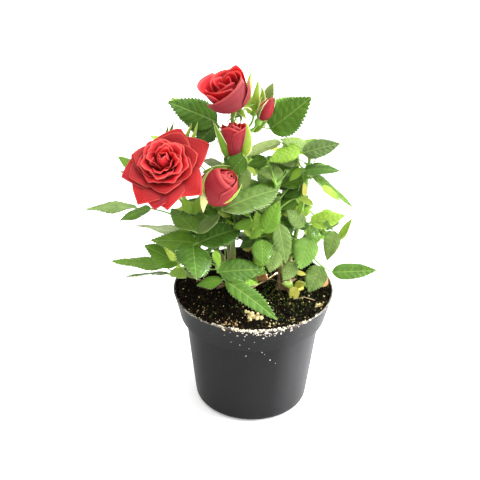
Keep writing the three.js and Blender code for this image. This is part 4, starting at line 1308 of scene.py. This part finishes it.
def petalFinish(name, deep, mid, edge):
    # rose petal: soft velvet surface, painted shade that darkens it toward its foot, a painted highlight
    # along its thin margin, fine streaks along it
    p = petalPattern
    material, node, _ = newFinish(
        name, 0.62, 1.38, Specular_IOR_Level=0.3, Subsurface_Weight=0.3, Subsurface_Scale=4 * mm,
        Subsurface_Radius=(1.0, 0.2, 0.15), Sheen_Weight=0.05, Sheen_Roughness=0.4,
        Sheen_Tint=srgb("#FFB0A8"))
    uv = node("UVMap", uv_map="bladeUv")
    rim, along, _ = node("SeparateXYZ", uv).node.outputs
    finer = (p["half"] / p["streakWidth"], p["half"] / p["streakLength"], 1)
    stretched = node("Mapping", uv, (0, 0, 0), (0, 0, 0), finer)
    streak = node("TexNoise", stretched, 1, 4)
    tone = node("Attribute", output=2, attribute_name="tone")
    tone = node("Math", tone, 0.4, operation="MULTIPLY")
    # painted shade: the petal is darker toward its foot, plus a random tone per petal
    shade = node("MapRange", node("Math", along, tone, operation="ADD"), 0.2, 1.0)
    body = node("Mix", shade, srgb(deep), srgb(mid))
    streaks = node("MapRange", streak, 0.4, 0.7)
    streaks = node("Math", streaks, 0.16, operation="MULTIPLY")
    body = node("Mix", streaks, body, srgb(edge))
    # painted highlight: a lighter line along the petal's margin
    colour = node("Mix", node("MapRange", rim, 0.93, 0.99, 0, 0.6), body, srgb(edge))
    dress(material, colour, streak, 0.25, 0.5)
    return material


def sepalFinish():
    # sepal: green with a cream felted margin, paler where it is young
    material, node, place = newFinish("rose sepal, felted margin", 0.7, 1.4, Specular_IOR_Level=0.12)
    rim = node("SeparateXYZ", node("UVMap", uv_map="bladeUv"))
    tone = node("Attribute", output=2, attribute_name="tone")
    green = node("Mix", node("TexNoise", place, mmPerMetre / 3, 3), srgb("#3E5C14"), srgb("#5F8026"))
    pale = node("Mix", node("TexNoise", place, mmPerMetre / 2, 3), srgb("#8FB934"), srgb("#B4CE54"))
    body = node("Mix", node("MapRange", tone, 0, 0.75), green, pale)
    body = node("Mix", node("MapRange", tone, 0.8, 0.95), body, srgb("#DDD79A"))
    margin = node("MapRange", rim, 0.74, 0.92, 0, 0.9)
    colour = node("Mix", margin, body, srgb("#D9D0A0"))
    dress(material, colour, node("TexNoise", place, mmPerMetre / 0.6, 2), 0.12)
    return material


def addSepal(batch, foot, bend, tip, width, turn, tone):
    # a narrow pointed blade along a curve through places of the picture, folded along its middle
    line = np.array([pictureSpot(*foot), pictureSpot(*bend), pictureSpot(*tip)])
    t = np.linspace(0, 1, 16)
    centre = bezier(line, t)
    q = np.array([-1, -0.78, 0, 0.78, 1])
    upper, lower = [], []
    for k, share in enumerate(t):
        way = bezierWay(line, share)
        toEye = squareTo(eye - centre[k], way)
        side = np.cross(way, toEye)
        a = math.radians(turn)
        normal = toEye * math.cos(a) + side * math.sin(a)
        side = np.cross(way, normal)
        half = width / 2 * min(1, 0.6 + 1.6 * share) * (1 - share ** 1.7) ** 0.9 + 0.04
        spots = centre[k] + np.outer(q * half, side) - np.outer(0.3 * half * q * q, normal)
        upper.append(spots)
        lower.append(spots - normal * 0.35)
    uv = np.stack([np.tile(np.abs(q), len(t)), np.repeat(t, len(q))], 1)
    addTo(batch, np.concatenate(upper + lower), sheetFaces(len(t), len(q)), 0, np.concatenate([uv, uv]), tone)


def flowerFrame(centre, axis):
    axis = unit(np.array(axis, float))
    turn = Vector((0, 0, 1)).rotation_difference(Vector(axis)).to_matrix()
    return np.array(centre, float), np.array(turn)


# shares of a petal's length: where it is full wide, where it narrows again and where its lip rolls; the
# least radius is a share of the flower's size, the jitter is in degrees
petalShape = {"widestBy": 0.62, "narrowFrom": 0.72, "narrowOver": 0.28, "narrowBy": 0.14, "lipFrom": 0.8,
              "lipOver": 0.2, "leastRadius": 0.09, "jitter": 3}


def addPetal(batch, place, size, angle, line, width, finish=(0, 0), tone=0.5, notch=0.26, power=1.3,
             tuck=0.03, slant=0.0, roll=0.0, lip=0.0, wave=0.02, thick=0.45, seed=1, rows=15, columns=13,
             foot=0.25):
    # line is the petal's middle as radius and height, in the flower's size
    p = petalShape
    numbers = seededNumbers(seeds["petals"] + 31 * seed)
    phase = [next(numbers) for _ in range(3)]
    s = np.linspace(0, 1, rows)[:, None]
    q = np.linspace(-1, 1, columns)[None, :]
    share = s * (1 - notch * np.abs(q) ** power)
    line = np.array(line, float)
    spot = bezier(line, share)
    r, z = spot[..., 0], spot[..., 1] + slant * q * share ** 2
    way = (line[1] - line[0]) * (1 - share)[..., None] + (line[2] - line[1]) * share[..., None]
    way = way / np.linalg.norm(way, axis=-1, keepdims=True)
    swell = np.sin(np.pi / 2 * np.clip(share / p["widestBy"], 0, 1))
    narrow = p["narrowBy"] * np.clip((share - p["narrowFrom"]) / p["narrowOver"], 0, 1) ** 2
    half = width / 2 * (foot + (1 - foot) * swell) * (1 - narrow)
    lift = tuck * q * share - roll * np.abs(q) ** 3 * share ** 2
    broad = np.sin(2 * np.pi * (0.9 * q + phase[0]))
    fine = np.sin(2 * np.pi * (1.7 * q + phase[1]))
    lift = lift + wave * share * broad + wave * 0.7 * share ** 2 * fine
    lift = lift - lip * np.clip((share - p["lipFrom"]) / p["lipOver"], 0, 1) ** 2
    thin = thick / size * (1 - 0.55 * np.maximum(np.abs(q) ** 6, s ** 8))

    def points(layer):
        off = lift + layer * thin
        radius = r - way[..., 1] * off
        height = z + way[..., 0] * off
        middle = math.radians(angle + p["jitter"] * (phase[2] - 0.5))
        turn = middle + q * half / np.maximum(r, p["leastRadius"])
        own = np.stack([radius * np.cos(turn), radius * np.sin(turn), height], -1).reshape(-1, 3) * size
        return own @ place[1].T + place[0]

    faces = sheetFaces(rows, columns)
    inner = (rows - 1) * (columns - 1)
    finishes = [finish[0]] * inner + [finish[1]] * (len(faces) - inner)
    fromFoot, fromMiddle = s * np.ones_like(q), np.abs(q) * np.ones_like(s)
    uv = np.stack([np.maximum(fromMiddle, fromFoot), fromFoot], -1).reshape(-1, 2)
    addTo(batch, np.concatenate([points(1), points(0)]), faces, finishes, np.concatenate([uv, uv]), tone)


# where on which shoot each stalk starts, then the flower's middle and its axis, the reach of its petals, how
# far below the middle its stalk ends and the girth of its hip as shares of that reach
flowers = {
    "bloom_open": {"shoot": "left", "at": 1, "centre": (-62.6, -40, 217.6), "axis": (-0.05, -0.61, 0.79),
                   "size": 30.3, "hip": 0.7, "girth": 0.13},
    "bloom_half_open": {"shoot": "tall", "at": 1, "centre": (-20, -13, 260), "axis": (-0.36, -0.16, 0.91),
                        "size": 14, "hip": 1.45, "girth": 0.24},
    "bud_middle": {"shoot": "tall", "at": 0.84, "centre": (-16, -22, 228), "axis": (0.02, 0.18, 0.98),
                   "size": 8.6, "hip": 2, "girth": 0.46},
    "bud_lower": {"shoot": "tall", "at": 0.62, "centre": (-25, -36, 199), "axis": (0.5, -0.45, 0.74),
                  "size": 11.5, "hip": 2, "girth": 0.46},
    "bud_side": {"shoot": "tall", "at": 0.86, "centre": (5.5, 0, 240.5), "axis": (0.5, 0.2, 0.84),
                 "size": 6.5, "hip": 2, "girth": 0.46},
    "bud_green": {"shoot": "tall", "at": 0.9, "centre": (-3, 12, 245), "axis": (0, 0.1, 0.99),
                  "size": 7.2, "hip": 2, "girth": 0.46},
}

# petals as rings from the outside in: angle, reach, tip height; then the ring's own shape
outerPetals = {"bend": (0.6, 0.08), "width": 1.1, "notch": 0.4, "power": 1.0, "roll": 0.08}
cupPetals = {"power": 2, "tuck": 0.06, "roll": 0.0}
openRings = [
    {"petals": [(196, 1.01, -0.1), (261, 1.1, -0.16)], **outerPetals, "finish": (1, 1)},
    {"petals": [(162, 0.8, -0.05), (121, 0.66, 0), (67.5, 0.93, 0), (26, 1.13, -0.12), (320.5, 1.12, -0.14),
                (275, 1.1, -0.14), (241, 1.12, -0.12)], **outerPetals, "finish": (0, 1)},
    {"petals": [(14, 0.78, 0.04), (335, 0.7, 0.06), (275, 0.78, 0.04), (204, 0.85, 0.02), (165, 0.72, 0.06),
                (62, 0.82, 0.05), (110, 0.6, 0.12)],
     "bend": (0.64, 0.05), "width": 0.95, "notch": 0.34, "power": 1.1, "roll": 0.07, "finish": (0, 1)},
    {"petals": [(190, 0.56, 0.16), (240, 0.58, 0.14), (300, 0.56, 0.16), (350, 0.55, 0.17), (45, 0.52, 0.2),
                (100, 0.48, 0.22), (145, 0.5, 0.2)],
     "bend": (0.72, 0.05), "width": 0.68, "notch": 0.24, "power": 1.3, "roll": 0.05, "lip": 0.05,
     "finish": (3, 1)},
    {"petals": [(205, 0.41, 0.24), (270, 0.4, 0.24), (335, 0.4, 0.25), (50, 0.38, 0.27), (125, 0.38, 0.27)],
     "bend": (0.85, 0.05), "width": 0.62, "notch": 0.14, "lip": 0.09, **cupPetals, "finish": (3, 0)},
    {"petals": [(180, 0.29, 0.26), (265, 0.29, 0.26), (0, 0.28, 0.27), (90, 0.27, 0.28)],
     "bend": (0.9, 0.02), "width": 0.46, "notch": 0.12, "lip": 0.07, **cupPetals, "finish": (3, 0)},
    {"petals": [(210, 0.2, 0.32), (320, 0.2, 0.31), (80, 0.18, 0.34)],
     "bend": (1.3, -0.05), "width": 0.36, "notch": 0.2, "power": 1.2, "tuck": 0.04, "lip": 0.07,
     "finish": (3, 3)},
    {"petals": [(300, 0.06, 0.42), (80, 0.06, 0.41), (190, 0.06, 0.4)],
     "bend": (3.4, 0.2), "width": 0.42, "notch": 0.2, "power": 1.5, "tuck": 0.03, "finish": (3, 3)},
]

halfRings = [
    {"petals": [(274, 1.1, 0.46)], "bend": (1.2, -0.9), "width": 2.85, "notch": 0.04, "power": 2,
     "tuck": 0.18, "slant": 0.36, "lip": 0.07, "finish": (3, 2)},
    {"petals": [(352, 1.12, 0.46)], "bend": (1.15, -0.9), "width": 1.5, "notch": 0.36, "power": 1.0,
     "tuck": 0.02, "lip": 0.04, "finish": (3, 2)},
    {"petals": [(178, 1.2, 0.8)], "bend": (1.12, -0.62), "width": 2.7, "notch": 0.05, "power": 2,
     "tuck": 0.02, "slant": 0.06, "lip": 0.16, "finish": (3, 1)},
    {"petals": [(50, 0.95, 0.82), (102, 0.98, 0.62)], "bend": (1.0, -0.72), "width": 1.7, "notch": 0.16,
     "tuck": 0.05, "lip": 0.06, "finish": (3, 1)},
    {"petals": [(238, 0.84, 0.62), (128, 0.8, 0.66), (10, 0.76, 0.7)], "bend": (0.95, -0.5), "width": 1.9,
     "notch": 0.06, "power": 2, "tuck": 0.16, "lip": 0.1, "finish": (3, 1)},
    {"petals": [(290, 0.52, 0.66), (165, 0.5, 0.7), (50, 0.48, 0.74)], "bend": (0.7, -0.3), "width": 1.15,
     "notch": 0.1, "power": 1.6, "tuck": 0.14, "lip": 0.07, "finish": (3, 1)},
    {"petals": [(215, 0.26, 0.7), (30, 0.24, 0.72)], "bend": (0.4, -0.2), "width": 0.75, "notch": 0.14,
     "power": 1.6, "tuck": 0.08, "lip": 0.04, "finish": (3, 1)},
]

# buds: an opening one with a ragged top, a plump closed one that leans to the right and a slim one
openingBud = [
    {"petals": [(326, 1.1, 1.26)], "bend": (0.98, -0.5), "width": 2.1, "notch": 0.16, "power": 1.4,
     "tuck": 0.04, "lip": 0.02},
    {"petals": [(246, 1.0, 1.24)], "bend": (0.98, -0.5), "width": 2.6, "notch": 0.14, "power": 1.2,
     "tuck": 0.0, "roll": 0.12},
    {"petals": [(160, 1.06, 1.1), (35, 1.0, 1.26)], "bend": (0.95, -0.5), "width": 2.1, "notch": 0.16,
     "power": 1.3, "lip": 0.02},
    {"petals": [(100, 0.8, 1.3), (285, 0.7, 1.3)], "bend": (0.85, -0.4), "width": 1.8, "notch": 0.2,
     "power": 1.2, "tuck": 0.08},
    {"petals": [(20, 0.5, 1.36), (150, 0.5, 1.34), (250, 0.46, 1.34)], "bend": (0.6, -0.2), "width": 1.2,
     "notch": 0.14, "power": 1.4, "tuck": 0.08},
    {"petals": [(80, 0.2, 1.38), (230, 0.2, 1.36)], "bend": (0.4, 0), "width": 0.8, "notch": 0.12},
]
plumpBud = [
    {"petals": [(340, 0.46, 1.24), (80, 0.48, 1.2)], "bend": (1.94, -0.5), "width": 2.5, "notch": 0.2,
     "power": 1.4, "tuck": 0.04, "lip": 0.05},
    {"petals": [(235, 0.5, 1.2)], "bend": (2.0, -0.6), "width": 2.8, "notch": 0.1, "power": 2, "tuck": 0.08},
    {"petals": [(290, 0.26, 1.4), (40, 0.26, 1.38), (170, 0.28, 1.34)], "bend": (1.4, -0.3), "width": 2.1,
     "notch": 0.1, "power": 2, "tuck": 0.06},
    {"petals": [(30, 0.12, 1.42), (150, 0.1, 1.44), (270, 0.12, 1.4)], "bend": (1.0, 0.0), "width": 1.3,
     "notch": 0.1, "power": 2, "finish": (0, 1)},
]
slimBud = [
    {"petals": [(300, 0.18, 1.5), (60, 0.16, 1.55), (180, 0.18, 1.5)], "bend": (1.4, -0.4), "width": 2.0,
     "notch": 0.1, "power": 2},
    {"petals": [(0, 0.1, 1.62), (180, 0.1, 1.6)], "bend": (0.7, 0.2), "width": 1.0, "notch": 0.12},
]

petalLooks = {
    "bloom_open": {"rings": openRings, "foot": (0.09, -0.42), "wave": 0.02},
    "bloom_half_open": {"rings": halfRings, "foot": (0.16, -1.0), "wave": 0.008},
    "bud_middle": {"rings": openingBud, "wave": 0.012, "foot": (0.42, -1.3)},
    "bud_lower": {"rings": plumpBud, "wave": 0.012, "foot": (0.3, -1.2)},
    "bud_side": {"rings": slimBud, "wave": 0.012, "foot": (0.3, -1.2)},
    "bud_green": {"rings": [], "wave": 0, "foot": (0.3, -1.2)},
}

sepalShape = {"tone": 0.2, "notch": 0.75, "power": 1.0, "tuck": 0.0, "roll": -0.02, "wave": 0.012,
              "thick": 0.5, "rows": 12, "columns": 7, "foot": 0.5}
# along the hip from its foot to its top: share of the way and of the girth
hipShape = ((0, 0.25, 0.55, 0.85, 1), (0.35, 0.85, 1, 0.85, 0.8))

# sepals: angle, foot, bend and tip as radius and height, and width
sepalLooks = {
    "bloom_open": [(120, (0.12, -0.5), (0.4, -0.5), (0.6, -0.52), 0.24),
                   (300, (0.12, -0.5), (0.5, -0.5), (0.8, -0.5), 0.24)],
    "bloom_half_open": [(14 + 72 * k, (0.2, -1.05), (0.55, -1.2), (0.62, -1.6), 0.4) for k in range(5)],
    "bud_middle": [(turn, (0.35, -1.3), (1.2, -0.7), (1.0, 1.1), 0.8) for turn in (60, 120)],
    "bud_lower": [(60, (0.35, -1.25), (1.6, -0.7), (0.9, 1.0), 0.8)],
    "bud_side": [(80 + 72 * k, (0.35, -1.2), (1.3, -0.6), (0.6, 1.2), 0.55) for k in range(3)],
    "bud_green": [(50 + 90 * k, (0.35, -1.2), (1.25, -0.5), (0.2, 1.9), 1.0) for k in range(4)],
}

# sepals that show: foot, bend and tip, each as a place in the picture and its depth, width, turn, paleness
seenSepals = {
    "bloom_open": [((178, 152, -16), (186, 142, -12), (192, 123, -10), 5.6, 20, 0.5),
                   ((181, 154, -16), (193, 144, -12), (197.5, 122, -10), 5.0, -20, 0.7),
                   ((160, 150, -16), (169, 139, -12), (174, 121, -10), 5.0, 0, 0.0),
                   ((158, 150, -16), (166, 140, -12), (168.5, 124, -10), 4.2, 0, 0.0),
                   ((150, 178, -34), (136, 191, -34), (125, 188, -36), 0.7, 0, 0.3)],
    "bloom_half_open": [((233, 112, -14), (232, 122, -14), (219, 125, -12), 0.9, 0, 0.2),
                        ((236, 111, -16), (231, 116, -18), (234, 124, -17), 3.0, 0, 0.2),
                        ((238, 111, -14), (243, 116, -16), (240, 124, -15), 3.0, 0, 0.1)],
    "bud_middle": [((228, 157, -27), (223, 144, -32), (213, 121, -30), 6.6, 10, 0.05),
                   ((242, 156, -25), (252, 144, -30), (246, 122, -26), 7.6, -10, 0.5)],
    "bud_lower": [((208, 198, -46), (195, 184, -47), (213, 168, -40), 2.9, 20, 0.15),
                  ((203, 173, -37), (218, 163, -34), (236, 168, -30), 2.4, 10, 0.0),
                  ((213, 202, -46), (234, 206, -48), (242, 184, -38), 3.4, 30, 0.4),
                  ((207, 194, -45), (202, 201, -47), (203.5, 213, -45), 7.4, 5, 0.9)],
    "bud_side": [((260, 121, 0), (257, 110, -4), (262, 97, -2), 2.4, 40, 0.3),
                 ((262, 121, 2), (277, 108, 0), (274, 94, 0), 2.6, -30, 0.1)],
    "bud_green": [((251, 113, 7), (245, 96, 4), (251.5, 71, 4), 7.2, 15, 0.6),
                  ((254, 113, 6), (256, 97, 0), (258.5, 80, 2), 7.4, 0, 0.5),
                  ((256, 113, 7), (266, 99, 3), (261, 86, 6), 6.0, -15, 0.4)],
}


def makeFlowers():
    finishes = [petalFinish("rose petal, scarlet velvet", "#8A1018", "#911318", "#B84A3E"),
                petalFinish("rose petal, crimson velvet", "#700C16", "#861620", "#AE4A48"),
                petalFinish("rose petal, rosy outer side", "#68111B", "#721B24", "#9C4E4C"),
                petalFinish("rose petal, red inner side", "#A0101C", "#B81C26", "#CE504C")]
    sepal = sepalFinish()
    seed = 0
    for name, flower in flowers.items():
        place, size, look = flowerFrame(flower["centre"], flower["axis"]), flower["size"], petalLooks[name]
        petals, calyx = newBatch(), newBatch()
        for ring in look["rings"]:
            shape = {"finish": (1, 1), **ring, "wave": look["wave"]}
            del shape["petals"], shape["bend"]
            for angle, reach, height in ring["petals"]:
                seed += 1
                bend = (ring["bend"][0] * (reach if name == "bloom_open" else 1), ring["bend"][1])
                line = (look["foot"], bend, (reach, height))
                shape.update(tone=seed * 0.618 % 1, seed=seed)
                addPetal(petals, place, size, angle, line, **shape)
        for k, (angle, foot, bend, tip, width) in enumerate(sepalLooks[name]):
            addPetal(calyx, place, size, angle, (foot, bend, tip), width, seed=200 + k, **sepalShape)
        for sepalRow in seenSepals[name]:
            addSepal(calyx, *sepalRow)
        # hip and stalk
        axis = place[1][:, 2]
        hipFoot = place[0] - axis * flower["hip"] * size
        hipTop = place[0] + axis * look["foot"][1] * size * 0.94
        along = np.linspace(0, 1, 9)
        hip = [hipFoot * (1 - a) + hipTop * a for a in along]
        girths = flower["girth"] * size * np.interp(along, *hipShape)
        addTube(calyx, hip, girths, 14, 1)
        start = bezier(shootPath(flower["shoot"]), flower["at"])
        distance = np.linalg.norm(hipFoot - start)
        path = np.array([start, hipFoot - axis * 0.45 * distance, hipFoot + axis * 0.5])
        addTube(calyx, bezier(path, np.linspace(0, 1, 16)), np.linspace(1.0, 0.85, 16), 9, 1)
        if look["rings"]:
            makePiece(name + "_petals", petals, finishes, [name])
        makePiece(name + "_calyx", calyx, [sepal, greenStalk], [name])


makeFlowers()
print("flowers made")


# what lies on the compost: a dry leaf, a dry twig, seedlings

# foot, bearing, rise, length and lean of each blade, and a seedling's tint
litterSizes = {
    "seed": 57,
    "fallen": [((2, 18, 94.5), 300, 18, 15, 30), ((8, 22, 94.2), 245, 25, 13, 50),
               ((50, 4, 94.5), 60, 12, 14, 20), ((-2, 8, 94), 215, 10, 12, 0)],
    "twigs": [([(-6, -6, 93.6), (2, 1, 95.2), (10, 9, 95.6), (19, 19, 97)], [0.5, 0.6, 0.55, 0.35], 8),
              ([(10, 9, 95.6), (14, 8, 97), (17, 5, 97.5)], [0.4, 0.35, 0.2], 6),
              ([(30, -14, 93.5), (38, -12, 94.6), (46, -15, 94)], [0.35, 0.4, 0.2], 6)],
    "seedlings": [((31, -2, 97), 265, -28, 13, 60, "yellow"), ((30, -1, 98), 200, 20, 9, 40, "fresh"),
                  ((31, -1, 98), 340, 25, 9, 40, "yellow"), ((38, 2, 96), 20, 20, 8, 40, "fresh"),
                  ((37, 2, 96), 250, 10, 8, 50, "yellow")],
    "stems": [([(30, 1, 91.5), (30.5, 0, 95), (31, -1.2, 98)], [0.5, 0.4, 0.3], 7),
              ([(37, 4, 91.5), (37.5, 3, 94), (37.5, 2, 96)], [0.4, 0.35, 0.25], 7)],
}


def makeFallen():
    s = litterSizes
    numbers = seededNumbers(s["seed"])

    def addBlade(batch, base, bearing, rise, length, lean, tint="mid"):
        along = heading(bearing, rise)
        facing = squareTo(heading(270, 90 - lean), along)
        addLeaflet(batch, np.array(base, float), along, facing, length, tint, numbers)

    fallen, green, stems = newBatch(), newBatch(), newBatch()
    for row in s["fallen"]:
        addBlade(fallen, *row)
    fallen["finish"] = [0] * len(fallen["finish"])
    for line, radii, sides in s["twigs"]:
        addTube(fallen, line, radii, sides, 1)
    # dead leaf: tan to brown, papery; dead twig: bleached straw colour, dull
    dry = mottledFinish("dead rose leaf, dry", "#8A5A34", "#D09A64", (3, 4), (1.0, 3), 0.25, 0.75)
    twig = mottledFinish("dead twig, bleached", "#9C8358", "#D9C69C", (2, 4), (0.8, 3), 0.2, 0.8)
    makePiece("fallen_leaf_and_twig", fallen, [dry, twig])
    for row in s["seedlings"]:
        addBlade(green, *row)
    makePiece("seedling_leaves", green, leafMaterials)
    for line, radii, sides in s["stems"]:
        addTube(stems, line, radii, sides)
    makePiece("seedling_stems", stems, [greenStalk])


makeFallen()
print("litter finished")
